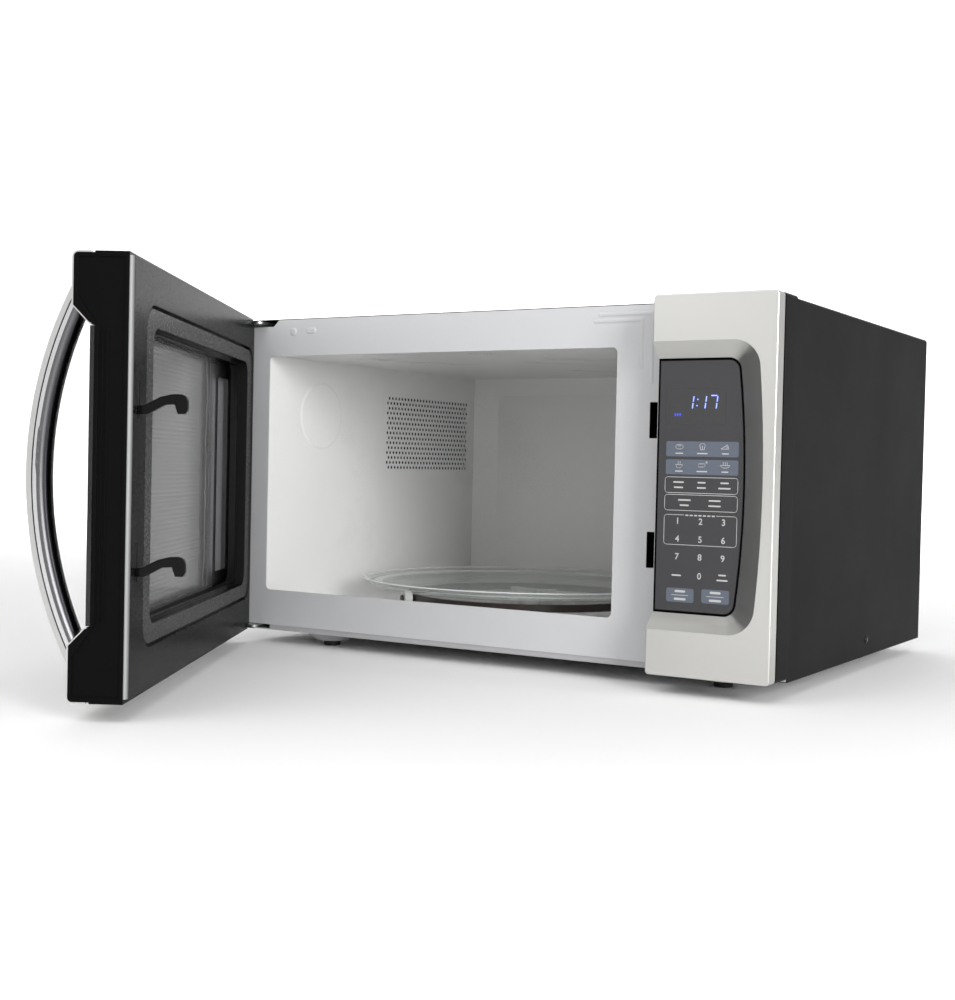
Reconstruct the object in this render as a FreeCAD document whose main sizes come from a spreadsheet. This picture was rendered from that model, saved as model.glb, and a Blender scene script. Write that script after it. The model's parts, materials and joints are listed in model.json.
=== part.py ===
import FreeCAD, Part
import math
import os
import re
import Sketcher
from FreeCAD import Placement, Rotation, Vector

# Countertop microwave oven, door standing open. Millimetres.
# Every piece is drawn with the oven in its own frame: x from the left side of the case, y back from
# the front plate, z up from the bottom of the case, door closed. Two placements then put the pieces
# where they belong: the oven's moves the origin to the centre of the footprint at the feet, and the
# door's also swings the piece open about the hinge pins.

os.makedirs("parts", exist_ok=True)
DOC = FreeCAD.newDocument("microwave_oven")
DIMS = DOC.addObject("Spreadsheet::Sheet", "Dims")

SIZES = {
    "Case": [
        ("case_width", 521), ("case_depth", 370), ("case_height", 284), ("sheet", 0.8),
        ("cover_round", 3), ("cover_hem", 9), ("cover_front", 2.6), ("base_flange", 20),
        ("plate_low", 5.5), ("plate_high", 283),
        ("foot_height", 12), ("foot_radius", 7.5), ("foot_left", 79), ("foot_right", 460),
        ("foot_front", 31), ("foot_rear", 335), ("boss_radius", 26), ("boss_drop", 7),
        ("side_hole_y", 199.5), ("side_hole_z", 14), ("gland_x", 480), ("gland_z", 60), ("gland_bore", 3.6),
    ],
    "Cavity": [
        ("opening_left", 25), ("opening_right", 377), ("opening_low", 37.5), ("opening_high", 250.5),
        ("opening_round", 4.5), ("cavity_left", 24), ("cavity_right", 378), ("cavity_low", 23),
        ("cavity_high", 251.5), ("cavity_back", 365), ("back_deep", 8), ("back_side", 27),
        ("back_top", 18),
        ("vent_front", 189.5), ("vent_low", 151), ("vent_columns", 27), ("vent_rows", 15),
        ("vent_pitch_y", 5.7), ("vent_pitch_z", 5.07), ("vent_hole", 1.75),
        ("emboss_y", 79), ("emboss_z", 199), ("emboss_radius", 31),
        ("table_x", 201), ("table_y", 177), ("tray_radius", 157.5), ("tray_rim", 48), ("tray_base", 38.3),
        ("glass", 4), ("ring_radius", 114), ("ring_wide", 5), ("ring_low", 27.5), ("ring_high", 34),
        ("roller_track", 122), ("roller_radius", 7.4), ("roller_width", 7), ("roller_turn", 232.6),
        ("axle_radius", 1.8), ("shaft_radius", 3.45), ("coupler_reach", 27), ("motor_radius", 25),
        ("motor_low", 6), ("motor_high", 20.5),
    ],
    "Front": [
        ("front_depth", 40), ("panel_left", 425.5), ("panel_right", 522.5), ("panel_low", 2.5),
        ("panel_high", 285), ("skin", 1), ("skin_return", 12.5), ("skin_round", 3), ("wall", 2.4),
        ("recess_depth", 11.5), ("recess_slope", 12), ("recess_low", 36.5), ("recess_high", 250.5),
        ("recess_right", 514), ("recess_floor_right", 496.5), ("recess_bulge", 6),
        ("recess_corner", 21), ("floor_corner", 10), ("keypad_gap", 1.9),
        ("display_left", 432), ("display_right", 480), ("display_low", 189), ("display_high", 216),
        ("slot_x", 409.3), ("slot_width", 6.6), ("slot_height", 28), ("slot_upper", 193.4),
        ("slot_lower", 92.9), ("plunger_y", 20), ("plunger_radius", 1.5),
    ],
    "Door": [
        ("door_left", -1), ("door_right", 423.5), ("door_high", 284.5), ("door_inner", -0.8),
        ("hinge_x", 5), ("hinge_y", -7.5), ("door_open", 59.8), ("pin_radius", 3), ("bush_radius", 5),
        ("leaf", 2), ("cover_thick", 3), ("recess_left", 19), ("floor_left", 34),
        ("ring_left", 14), ("ring_right", 389), ("ring_floor", 30), ("ring_top", 256.5),
        ("ring_band", 20), ("ring_band_high", 13.8), ("ring_drop", 0.9), ("groove_wide", 2.4),
        ("groove_deep", 3.6), ("edge_round", 4),
        ("screen_y", -23), ("handle_left", 404.5), ("handle_right", 423), ("handle_out", 67.3),
        ("handle_thick", 13.5), ("handle_cap", 3.4), ("handle_mid", 144), ("handle_curve", 271),
        ("screw_reach", 100.5), ("hook_x", 408.4), ("hook_z", 186), ("hook_drop", 103.5),
        ("hook_reach", 32), ("hook_thick", 3.8),
    ],
    "Machine": [
        ("guide_right", 404.8), ("guide_front", 95), ("guide_back", 215), ("guide_low", 168),
        ("guide_high", 238), ("tube_y", 190), ("tube_z", 203), ("fan_x", 452), ("fan_radius", 45),
    ],
    "Origin": [("origin_x", 248.56), ("origin_y", -11.6)],
}
VALUE = {}
row = 1
for group, entries in SIZES.items():
    DIMS.set("A%d" % row, group)
    row += 1
    for alias, value in entries:
        DIMS.set("A%d" % row, alias)
        DIMS.set("B%d" % row, str(value))
        DIMS.setAlias("B%d" % row, alias)
        VALUE[alias] = value
        row += 1
DOC.recompute()

NODES = []
WORD = re.compile(r"[a-z][a-z_]*")


def formula(text):
    """Write a sum of sheet names as a FreeCAD expression."""
    return WORD.sub(lambda found: "Dims." + found.group(0) if found.group(0) in VALUE else found.group(0),
                    str(text))


def size(text):
    """The value of a sum of sheet names, for shapes drawn with Part's own functions."""
    return float(DIMS.evalExpression(formula(text)))


def bind(thing, **properties):
    for name, text in properties.items():
        thing.setExpression(name.replace("__", "."), formula(text))


def place(thing, at):
    bind(thing, Placement__Base__x=at[0], Placement__Base__y=at[1], Placement__Base__z=at[2])


def box(x, y, z):
    """A block between two formulas along each axis."""
    block = DOC.addObject("Part::Box", "Block")
    bind(block, Length="(%s) - (%s)" % (x[1], x[0]), Width="(%s) - (%s)" % (y[1], y[0]),
         Height="(%s) - (%s)" % (z[1], z[0]))
    place(block, (x[0], y[0], z[0]))
    return block


TURN = {"x": Rotation(Vector(0, 1, 0), 90), "y": Rotation(Vector(1, 0, 0), -90), "z": Rotation()}


def rod(radius, length, at, along="z"):
    """A cylinder that starts at a point and runs along a positive axis."""
    cylinder = DOC.addObject("Part::Cylinder", "Rod")
    cylinder.Placement = Placement(Vector(), TURN[along])
    bind(cylinder, Radius=radius, Height=length)
    place(cylinder, at)
    return cylinder


def cone(radius_low, radius_high, height, at):
    frustum = DOC.addObject("Part::Cone", "Frustum")
    bind(frustum, Radius1=radius_low, Radius2=radius_high, Height=height)
    place(frustum, at)
    return frustum


def drawn(shape):
    """A shape made by Part's functions from sheet values."""
    feature = DOC.addObject("Part::Feature", "Drawn")
    feature.Shape = shape
    return feature


def join(*pieces):
    fused = DOC.addObject("Part::MultiFuse", "Join")
    fused.Shapes = list(pieces)
    return fused


def cut(base, *tools):
    result = DOC.addObject("Part::Cut", "Cut")
    result.Base = base
    result.Tool = tools[0] if len(tools) == 1 else gather(*tools)
    return result


def gather(*pieces):
    group = DOC.addObject("Part::Compound", "Group")
    group.Links = list(pieces)
    return group


def rounded(base, radius, along, where=lambda edge: True):
    """Round the straight edges of a piece that run along one axis."""
    DOC.recompute()
    direction = {"x": Vector(1, 0, 0), "y": Vector(0, 1, 0), "z": Vector(0, 0, 1)}[along]
    chosen = []
    for number, edge in enumerate(base.Shape.Edges, 1):
        straight = isinstance(edge.Curve, (Part.Line, Part.LineSegment))
        if straight and abs(edge.tangentAt(edge.FirstParameter).dot(direction)) > 0.999 and where(edge):
            chosen.append((number, size(radius), size(radius)))
    fillet = DOC.addObject("Part::Fillet", "Round")
    fillet.Base = base
    fillet.Edges = chosen
    return fillet


def sheet_box(x, y, z, wall, open_side):
    """A folded sheet tray: a block less a block inside it that runs out through one side."""
    grow = {"-x": (("%s - 1", "%s - {w}"), None, None), "+x": (("%s + {w}", "%s + 1"), None, None),
            "-y": (None, ("%s - 1", "%s - {w}"), None), "+y": (None, ("%s + {w}", "%s + 1"), None),
            "-z": (None, None, ("%s - 1", "%s - {w}")), "+z": (None, None, ("%s + {w}", "%s + 1"))}[open_side]
    inside = []
    for span, change in zip((x, y, z), grow):
        low, high = change or ("%s + {w}", "%s - {w}")
        inside.append((low.replace("{w}", wall) % span[0], high.replace("{w}", wall) % span[1]))
    return cut(box(x, y, z), box(*inside))


def node(label, piece, door=False):
    """Name a finished sub-part and put it in the oven, or on its open door."""
    thing = piece
    if piece.TypeId != "PartDesign::Body":
        thing = gather(piece)
    thing.Label = label
    home = Placement(Vector(-VALUE["origin_x"], -VALUE["origin_y"], VALUE["foot_height"]), Rotation())
    if door:
        pin = Vector(VALUE["hinge_x"], VALUE["hinge_y"], 0)
        swing = Rotation(Vector(0, 0, 1), -VALUE["door_open"])
        home = home * Placement(pin, Rotation()) * Placement(Vector(), swing) * Placement(-pin, Rotation())
    thing.Placement = home * thing.Placement
    NODES.append(thing)
    return thing


def origin_plane(body, role):
    return next(plane for plane in body.Origin.OriginFeatures if plane.Role == role)


def turned(points, at):
    """A PartDesign body turned about its own z axis from (radius, height) corners."""
    body = DOC.addObject("PartDesign::Body", "Turned")
    sketch = body.newObject("Sketcher::SketchObject", "Profile")
    sketch.AttachmentSupport = [(origin_plane(body, "XZ_Plane"), "")]
    sketch.MapMode = "FlatFace"
    outline(sketch, points)
    turn = body.newObject("PartDesign::Revolution", "Turn")
    turn.Profile = sketch
    turn.ReferenceAxis = (sketch, ["V_Axis"])
    turn.Angle = 360
    body.Placement = Placement(Vector(*[size(value) for value in at]), Rotation())
    return body


def outline(sketch, points):
    """A closed run of lines whose corners are held by driving dimensions from the sheet."""
    corners = [Vector(size(across), size(up), 0) for across, up in points]
    count = len(corners)
    for number in range(count):
        sketch.addGeometry(Part.LineSegment(corners[number], corners[(number + 1) % count]), False)
    for number in range(count):
        sketch.addConstraint(Sketcher.Constraint("Coincident", number, 2, (number + 1) % count, 1))
    for number, (across, up) in enumerate(points):
        limits = (("DistanceX", corners[number].x, across), ("DistanceY", corners[number].y, up))
        for kind, value, text in limits:
            held = sketch.addConstraint(Sketcher.Constraint(kind, -1, 1, number, 1, value))
            sketch.setExpression("Constraints[%d]" % held, formula(text))


def slab(x, y, z, radius):
    """A block with its four edges along y rounded: the plan of openings in upright sheets."""
    return rounded(box(x, y, z), radius, "y")


def at(x, y, z):
    return Vector(size(x), size(y), size(z))


# ---------------------------------------------------------------- case


def outer_cover():
    inside = box(("sheet", "case_width - sheet"), ("0", "case_depth + 1"), ("-1", "case_height - sheet"))
    shell = rounded(box(("0", "case_width"), ("cover_front", "case_depth"), ("0", "case_height")),
                    "cover_round", "y", lambda edge: edge.CenterOfMass.z > 1)
    wrap = cut(shell, rounded(inside, "cover_round - sheet", "y", lambda edge: edge.CenterOfMass.z > 1))
    length = ("cover_front", "case_depth")
    lip = ("case_depth - sheet", "case_depth")
    folded = [
        box(("0", "cover_hem"), length, ("0", "sheet")),
        box(("case_width - cover_hem", "case_width"), length, ("0", "sheet")),
        box(("sheet / 2", "cover_hem"), lip, ("0", "case_height - 3 * sheet")),
        box(("case_width - cover_hem", "case_width - sheet / 2"), lip, ("0", "case_height - 3 * sheet")),
        box(("3 * sheet", "case_width - 3 * sheet"), lip,
            ("case_height - cover_hem", "case_height - sheet / 2")),
    ]
    hole = rod("3.5", "3", ("case_width - 2", "side_hole_y", "side_hole_z"), "x")
    return cut(join(wrap, *folded), hole, *screw_holes())


SCREWS = [("4.8", "60"), ("4.8", "220"), ("case_width - 4.8", "60"), ("case_width - 4.8", "220"),
          ("130", "case_height - 5"), ("390", "case_height - 5")]


def screw_holes():
    return [rod("1.75", "4", (x, "case_depth - 3", z), "y") for x, z in SCREWS]


def cover_screws():
    screws = []
    for x, z in SCREWS:
        head = rod("3.5", "2", (x, "case_depth", z), "y")
        screws.append(join(head, rod("1.7", "9", (x, "case_depth - 8.5", z), "y")))
    screws.append(side_screw())
    return gather(*screws)


def side_screw():
    """The domed screw low on the right side."""
    seat = at("case_width - sheet", "side_hole_y", "side_hole_z")
    dome = drawn(Part.makeCone(3.2, 1.8, 0.9, seat + Vector(1.2, 0, 0), Vector(1, 0, 0)))
    head = rod("3.2", "1.2", ("case_width - sheet", "side_hole_y", "side_hole_z"), "x")
    shank = rod("1.7", "8", ("case_width - sheet - 7.5", "side_hole_y", "side_hole_z"), "x")
    return join(head, dome, shank)


def back_panel():
    sheet = slab(("sheet", "case_width - sheet"), ("case_depth - 2 * sheet", "case_depth - sheet"),
                 ("sheet", "case_height - sheet"), "cover_round")
    slots = []
    for level in range(11):
        for column in range(3):
            low = at("fan_x - 46", "case_depth - 3", "tube_z - 42") + Vector(32 * column, 0, 8 * level)
            slots.append(Part.makeBox(27, 4, 3.4, low))
    for level in range(5):
        low = at("60", "case_depth - 3", "30") + Vector(0, 0, 8 * level)
        slots.append(Part.makeBox(60, 4, 3.4, low))
    gland = rod("8", "4", ("gland_x", "case_depth - 3", "gland_z"), "y")
    return cut(sheet, drawn(Part.makeCompound(slots)), gland, *screw_holes())


def cord_gland():
    body = rod("7.95", "14", ("gland_x", "case_depth - 8", "gland_z"), "y")
    flange = rod("11", "2.5", ("gland_x", "case_depth - sheet", "gland_z"), "y")
    nut = rod("11", "4", ("gland_x", "case_depth - 2 * sheet - 4", "gland_z"), "y")
    bore = rod("gland_bore", "20", ("gland_x", "case_depth - 10", "gland_z"), "y")
    return cut(join(body, flange, nut), bore)


def base_plate():
    tray = sheet_box(("sheet", "case_width - sheet"), ("sheet", "case_depth - 2 * sheet"),
                     ("sheet", "base_flange"), "sheet", "+z")
    bosses = [cone("14", "boss_radius", "boss_drop + sheet", (x, y, "-boss_drop"))
              for x, y in FEET.values()]
    leaf_gap = box(("0", "30"), ("0", "sheet * 3"), ("sheet * 2", "base_flange + 1"))
    screw = rod("1.75", "3", ("case_width - 3", "side_hole_y", "side_hole_z"), "x")
    vents = [Part.makeBox(4, 30, 4, at("470", "70", "-1") + Vector(9 * count, 0, 0)) for count in range(4)]
    return cut(join(tray, *bosses), leaf_gap, screw, drawn(Part.makeCompound(vents)))


FEET = {
    "foot_front_left": ("foot_left", "foot_front"),
    "foot_front_right": ("foot_right", "foot_front"),
    "foot_rear_left": ("foot_left", "foot_rear"),
    "foot_rear_right": ("foot_right", "foot_rear"),
}


def foot(x, y):
    profile = [("0", "0"), ("foot_radius - 0.6", "0"), ("foot_radius", "0.8"),
               ("foot_radius", "foot_height - boss_drop"), ("0", "foot_height - boss_drop")]
    return turned(profile, (x, y, "-foot_height"))


def front_plate():
    sheet = box(("sheet", "case_width - sheet"), ("0", "sheet"), ("plate_low", "plate_high"))
    through = ("-1", "sheet + 1")
    opening = slab(("opening_left", "opening_right"), through, ("opening_low", "opening_high"),
                   "opening_round")
    bay = slab(("446", "case_width - 10"), through, ("20", "265"), "6")
    slots = [box(slot_x_span(), through, slot_z_span(level)) for level in ("slot_upper", "slot_lower")]
    corner = [at("-1", "-1", "277.3"), at("29", "-1", "277.3"), at("36", "-1", "plate_high + 1"),
              at("-1", "-1", "plate_high + 1"), at("-1", "-1", "277.3")]
    notch = drawn(Part.Face(Part.makePolygon(corner)).extrude(Vector(0, 3, 0)))
    swages = [swage("x", (356, 399), 271.3), swage("z", (234, 272.5), 397.7),
              swage("x", (360, 408), 276.4), swage("z", (222, 277.6), 406.7)]
    return join(cut(sheet, opening, bay, notch, *slots), plate_flange(), dimple(), pill(), *swages)


def plate_flange():
    """The lip folded back from the front plate's top and sides, just inside the outer cover."""
    outside = rounded(box(("sheet", "case_width - sheet"), ("sheet / 2", "9"),
                          ("base_flange + 0.3", "plate_high")), "cover_round", "y")
    inside = box(("2 * sheet", "case_width - 2 * sheet"), ("-1", "10"), ("0", "plate_high - sheet"))
    return cut(outside, inside, box(("-1", "36"), ("-1", "10"), ("277.3", "plate_high + 1")))


def swage(along, span, level):
    """A low pressed line in the front plate, with sloping sides."""
    start, end = span
    profile = [(-1.9, 0.1), (-1.9, 0), (-0.6, -0.6), (0.6, -0.6), (1.9, 0), (1.9, 0.1)]
    if along == "x":
        corners = [Vector(start, y, level + across) for across, y in profile]
        direction = Vector(end - start, 0, 0)
    else:
        corners = [Vector(level + across, y, start) for across, y in profile]
        direction = Vector(0, 0, end - start)
    return drawn(Part.Face(Part.makePolygon(corners + corners[:1])).extrude(direction))


def dimple():
    return drawn(Part.makeCone(4.2, 2.4, 0.7, Vector(52, 0.1, 272), Vector(0, -1, 0)))


def pill():
    """A pressed mark with round ends, sloping all round."""
    profile = [(-3.1, 0.1), (-1.6, -0.6), (1.6, -0.6), (3.1, 0.1)]
    ends = [drawn(Part.makeCone(3.1, 1.6, 0.7, Vector(x, 0.1, 272.6), Vector(0, -1, 0)))
            for x in (69.5, 75)]
    corners = [Vector(69.5, y, 272.6 + up) for up, y in profile]
    return join(*ends, drawn(Part.Face(Part.makePolygon(corners + corners[:1])).extrude(Vector(5.5, 0, 0))))


def slot_x_span():
    return ("slot_x - slot_width / 2", "slot_x + slot_width / 2")


def slot_z_span(level):
    return (level + " - slot_height / 2", level + " + slot_height / 2")


# ---------------------------------------------------------------- cavity


def cavity_shell():
    def room(grow, front):
        """The room inside, with a back wall that is dished all round its edge."""
        x = ("cavity_left - " + grow, "cavity_right + " + grow)
        z = ("cavity_low - " + grow, "cavity_high + " + grow)
        shoulder = "cavity_back - back_deep + " + grow
        outer = rounded_loop(x, z, 1, size(shoulder))
        inner_x = (x[0] + " + back_side", x[1] + " - back_side")
        inner_z = (z[0] + " + back_top", z[1] + " - back_top")
        inner = rounded_loop(inner_x, inner_z, 10, size("cavity_back + " + grow))
        dish = drawn(Part.makeLoft([outer, inner], True, True))
        block = box(x, (front, shoulder), z)
        return join(rounded(block, "1", "y"), dish)

    walls = cut(room("sheet", "sheet"), room("0", "-1"))
    emboss = drawn(Part.makeCone(size("emboss_radius") + 1.2, size("emboss_radius") - 0.8, 0.8,
                                 at("cavity_left - 0.1", "emboss_y", "emboss_z"), Vector(1, 0, 0)))
    antenna_window = box(("cavity_right - 1", "cavity_right + 2"), ("guide_front + 10", "guide_front + 70"),
                         ("guide_low + 7", "guide_high - 7"))
    shaft_hole = rod("6", "4", ("table_x", "table_y", "cavity_low - 2"))
    return cut(join(walls, emboss), drawn(Part.makeCompound(vent_punches())), antenna_window, shaft_hole,
               drawn(Part.makeCompound(lamp_punches())))


def vent_punches():
    """Staggered rows of small round holes in the left wall."""
    punches = []
    for level in range(int(size("vent_rows"))):
        shift = 0 if level % 2 else size("vent_pitch_y") / 2
        for column in range(int(size("vent_columns"))):
            centre = at("cavity_left - 2", "vent_front", "vent_low")
            centre += Vector(0, shift + column * size("vent_pitch_y"), level * size("vent_pitch_z"))
            punches.append(Part.makeCylinder(size("vent_hole"), 4, centre, Vector(1, 0, 0)))
    return punches


def lamp_punches():
    """Three rings of holes in the right wall in front of the lamp."""
    centre = at("cavity_right - 1", "290", "215")
    punches = [Part.makeCylinder(1.5, 3, centre, Vector(1, 0, 0))]
    for ring in (1, 2):
        for count in range(6 * ring):
            turn = 2 * math.pi * count / (6 * ring)
            spot = centre + Vector(0, 6 * ring * math.cos(turn), 6 * ring * math.sin(turn))
            punches.append(Part.makeCylinder(1.5, 3, spot, Vector(1, 0, 0)))
    return punches


def waveguide_cover():
    sheet = box(("cavity_right - 0.9", "cavity_right - 0.2"), ("guide_front + 3", "guide_front + 77"),
                ("guide_low", "guide_high"))
    return rounded(sheet, "6", "x")


def turntable_motor():
    can = rod("motor_radius", "motor_high - motor_low", ("table_x", "table_y", "motor_low"))
    ears = box(("table_x - 33", "table_x + 33"), ("table_y - 6", "table_y + 6"),
               ("motor_high - 1.2", "motor_high"))
    plug = box(("table_x - 8", "table_x + 8"), ("table_y + motor_radius - 4", "table_y + motor_radius + 9"),
               ("motor_low + 2", "motor_low + 12"))
    posts = [rod("3", "motor_low - 2 * sheet", ("table_x + %d" % side, "table_y", "2 * sheet"))
             for side in (-18, 18)]
    return join(can, ears, plug, *posts)


def motor_shaft():
    shaft = rod("shaft_radius", "12", ("table_x", "table_y", "motor_high + 0.4"))
    flat = box(("table_x + 2.4", "table_x + 6"), ("table_y - 6", "table_y + 6"), ("26", "40"))
    return cut(shaft, flat)


def around(count, step, first="0"):
    return [size(first) + turn * step for turn in range(count)]


def turned_about(piece, degrees):
    """Carry a piece round the turntable's centre."""
    centre = at("table_x", "table_y", "0")
    spin = Placement(centre, Rotation()) * Placement(Vector(), Rotation(Vector(0, 0, 1), degrees))
    holder = gather(piece)
    holder.Placement = spin * Placement(-centre, Rotation())
    return holder


def turntable_coupler():
    hub = rod("12", "tray_base - 0.3 - 24", ("table_x", "table_y", "24"))
    arm = box(("table_x", "table_x + coupler_reach"), ("table_y - 4", "table_y + 4"),
              ("29", "tray_base - 0.3"))
    arms = [turned_about(arm, degrees) for degrees in around(3, 120, "30")]
    shaft = cut(rod("shaft_radius + 0.03", "16", ("table_x", "table_y", "20")),
                box(("table_x + 2.45", "table_x + 6"), ("table_y - 6", "table_y + 6"), ("26", "40")))
    return cut(join(hub, *arms), shaft)


def glass_tray():
    centre = at("table_x", "table_y", "0")
    reach = size("tray_radius")
    low, glass, rim = size("tray_base"), size("glass"), size("tray_rim")
    profile = [(0, low), (reach - 24, low), (reach - 8, low + 2.5), (reach - 1, rim - 2.5),
               (reach, rim - 0.8), (reach - 1, rim), (reach - 3.2, rim - 0.4), (reach - 9, low + glass + 2.2),
               (reach - 25, low + glass), (0, low + glass)]
    corners = [centre + Vector(radius, 0, level) for radius, level in profile]
    plate = Part.Face(Part.makePolygon(corners + corners[:1])).revolve(centre, Vector(0, 0, 1), 360)
    lugs = []
    for degrees in around(3, 120, "90"):
        turn = math.radians(degrees)
        spot = centre + Vector(20 * math.cos(turn), 20 * math.sin(turn), low - 3)
        lugs.append(Part.makeCylinder(4, 4, spot))
    return drawn(plate.fuse(lugs).removeSplitter())


def roller_ring():
    band_out = rod("ring_radius + ring_wide / 2", "ring_high - ring_low",
                   ("table_x", "table_y", "ring_low"))
    band_in = rod("ring_radius - ring_wide / 2", "ring_high - ring_low + 2",
                  ("table_x", "table_y", "ring_low - 1"))
    level = "cavity_low + 0.2 + roller_radius"
    stub = rod("axle_radius", "12", ("table_x + ring_radius + 1", "table_y", level), "x")
    cap = rod("3.2", "1.6", ("table_x + roller_track + roller_width / 2 + 0.3", "table_y", level), "x")
    axles = [turned_about(join(stub, cap), degrees) for degrees in around(3, 120, "roller_turn")]
    return join(cut(band_out, band_in), *axles)


def ring_roller(degrees):
    level = "cavity_low + 0.2 + roller_radius"
    start = "table_x + roller_track - roller_width / 2"
    wheel = cut(rod("roller_radius", "roller_width", (start, "table_y", level), "x"),
                rod("axle_radius + 0.06", "20", ("table_x + ring_radius", "table_y", level), "x"))
    return turned_about(wheel, degrees)


# ---------------------------------------------------------------- front recess, shared by door and panel


def recess_loop(near, far, low, high, corner, level):
    """A D-shaped loop in the plane y = -level: straight at x = near, bowed at x = far."""
    toward = 1 if far > near else -1
    middle, half, bulge = (low + high) / 2, (high - low) / 2, size("recess_bulge")
    bow = (half ** 2 + bulge ** 2) / (2 * bulge)
    centre = far - toward * bow
    rise = half - corner
    run = math.sqrt((bow - corner) ** 2 - rise ** 2)
    aim = math.atan2(rise, run)
    lean = (aim + math.pi / 2) / 2

    def spot(x, z):
        return Vector(x, -level, z)

    turn_x = centre + toward * run
    upper = [spot(turn_x, high),
             spot(turn_x + toward * corner * math.cos(lean), middle + rise + corner * math.sin(lean)),
             spot(centre + toward * bow * math.cos(aim), middle + bow * math.sin(aim))]
    lower = [Vector(point.x, point.y, 2 * middle - point.z) for point in upper]
    edges = [Part.LineSegment(spot(near, high), upper[0]).toShape(), Part.Arc(*upper).toShape(),
             Part.Arc(upper[2], spot(far, middle), lower[2]).toShape(), Part.Arc(*lower[::-1]).toShape(),
             Part.LineSegment(lower[0], spot(near, low)).toShape(),
             Part.LineSegment(spot(near, low), spot(near, high)).toShape()]
    return Part.Wire(edges)


def recess(near, far, floor_far, grow, floor_level):
    """The hollow in the front: sloping sides down to a floor loop, then straight down to floor_level."""
    low, high, slope = size("recess_low") - grow, size("recess_high") + grow, size("recess_slope")
    toward = 1 if far > near else -1
    front, floor = size("front_depth"), size("front_depth - recess_depth")
    mouth = recess_loop(near, far + toward * grow, low, high, size("recess_corner") + grow, front)
    bottom = recess_loop(near, floor_far + toward * grow, low + slope, high - slope,
                         size("floor_corner") + grow, floor)
    funnel = Part.makeLoft([mouth, bottom], True, True)
    return drawn(funnel.fuse(Part.Face(bottom).extrude(Vector(0, floor - floor_level, 0))))


def floor_pane(near, far, inset, y_low, y_high):
    """A D-shaped plate that lies on the floor of the recess."""
    slope = size("recess_slope")
    toward = 1 if far > near else -1
    loop = recess_loop(near + toward * inset, far - toward * inset, size("recess_low") + slope + inset,
                       size("recess_high") - slope - inset, size("floor_corner") - inset, -y_low)
    return drawn(Part.Face(loop).extrude(Vector(0, y_high - y_low, 0)))


def panel_recess(grow, floor_level):
    return recess(size("panel_left") - 5, size("recess_right"), size("recess_floor_right"), grow,
                  floor_level)


def door_recess(grow, floor_level):
    return recess(size("door_right") + 5, size("recess_left"), size("floor_left"), grow, floor_level)


# ---------------------------------------------------------------- control panel


def panel_skin():
    front = ("-front_depth", "-front_depth + skin_return")
    block = box(("panel_left", "panel_right"), front, ("panel_low", "panel_high"))
    outside = rounded(rounded(block, "skin_round", "y"), "1", "z", lambda edge: edge.CenterOfMass.x > 500
                      and edge.CenterOfMass.y < -39)
    inside = box(("panel_left - 1", "panel_right - skin"), ("-front_depth + skin", "0"),
                 ("panel_low + skin", "panel_high - skin"))
    hollow = cut(rounded(inside, "skin_round - skin", "y", lambda edge: edge.CenterOfMass.x > 500),
                 panel_recess(1.0, 20))
    return cut(cut(outside, hollow), panel_recess(0, 20))


def panel_frame():
    under = rounded(box(("panel_left", "panel_right - skin - 0.1"), ("-front_depth + skin + 0.1", "-24.5"),
                        ("panel_low + skin + 0.1", "panel_high - skin - 0.1")), "skin_round - skin", "y")
    rim = rounded(box(("panel_left", "panel_right"), ("-25", "0"), ("panel_low", "panel_high")),
                  "skin_round", "y", lambda edge: edge.CenterOfMass.x > 500)
    pocket = box(("panel_left + wall", "panel_right - wall"), ("-24.9", "1"),
                 ("panel_low + wall", "panel_high - wall"))
    across = ("panel_left + wall", "panel_right - wall")
    upper = box(across, ("-36.5", "-20"), ("257", "panel_high - wall - 1.5"))
    lower = box(across, ("-36.5", "-20"), ("panel_low + wall + 1.5", "30"))
    window = box(("display_left", "display_right"), ("-30", "-20"), ("display_low", "display_high"))
    posts = [rod("3", "8.9", (x, "-24.9", z), "y") for x in ("436", "508") for z in ("46", "219")]
    return join(cut(join(under, rim), panel_recess(1.1, 27.3), pocket, upper, lower, window), *posts)


def keypad_overlay():
    sheet = floor_pane(size("panel_left"), size("recess_floor_right"), size("keypad_gap"), -28.1, -27.3)
    window = box(("display_left", "display_right"), ("-30", "-20"), ("display_low", "display_high"))
    return cut(sheet, window)


def display_lens():
    return slab(("display_left + 0.06", "display_right - 0.06"), ("-28.1", "-25.5"),
                ("display_low + 0.06", "display_high - 0.06"), "0.2")


def control_board():
    board = box(("431", "513"), ("-16", "-14.4"), ("38", "227"))
    digits = box(("display_left + 1", "display_right - 1"), ("-25.2", "-16"),
                 ("display_low + 1", "display_high - 1"))
    relays = [box(("440", "456"), ("-14.4", "-2"), ("%d" % low, "%d" % (low + 20))) for low in (60, 88)]
    supply = box(("470", "500"), ("-14.4", "6"), ("60", "92"))
    buzzer = rod("6", "7", ("490", "-14.4", "150"), "y")
    chip = box(("445", "463"), ("-14.4", "-11"), ("140", "158"))
    return join(board, digits, *relays, supply, buzzer, chip)


# ---------------------------------------------------------------- latch and interlocks


def latch_housing():
    block = box(("402", "418"), ("sheet", "40"), ("68", "218"))
    channels = [box(slot_x_span(), ("0", "37"), slot_z_span(level))
                for level in ("slot_upper", "slot_lower")]
    bores = [rod("plunger_radius + 0.05", "10", ("slot_x", "plunger_y", level), "x")
             for level in ("slot_upper", "slot_lower")]
    bores.append(rod("plunger_radius + 0.05", "10", ("400", "plunger_y", "slot_lower"), "x"))
    middle = box(slot_x_span(), ("4", "36"), ("112", "174"))
    return cut(block, *channels, *bores, middle)


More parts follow.
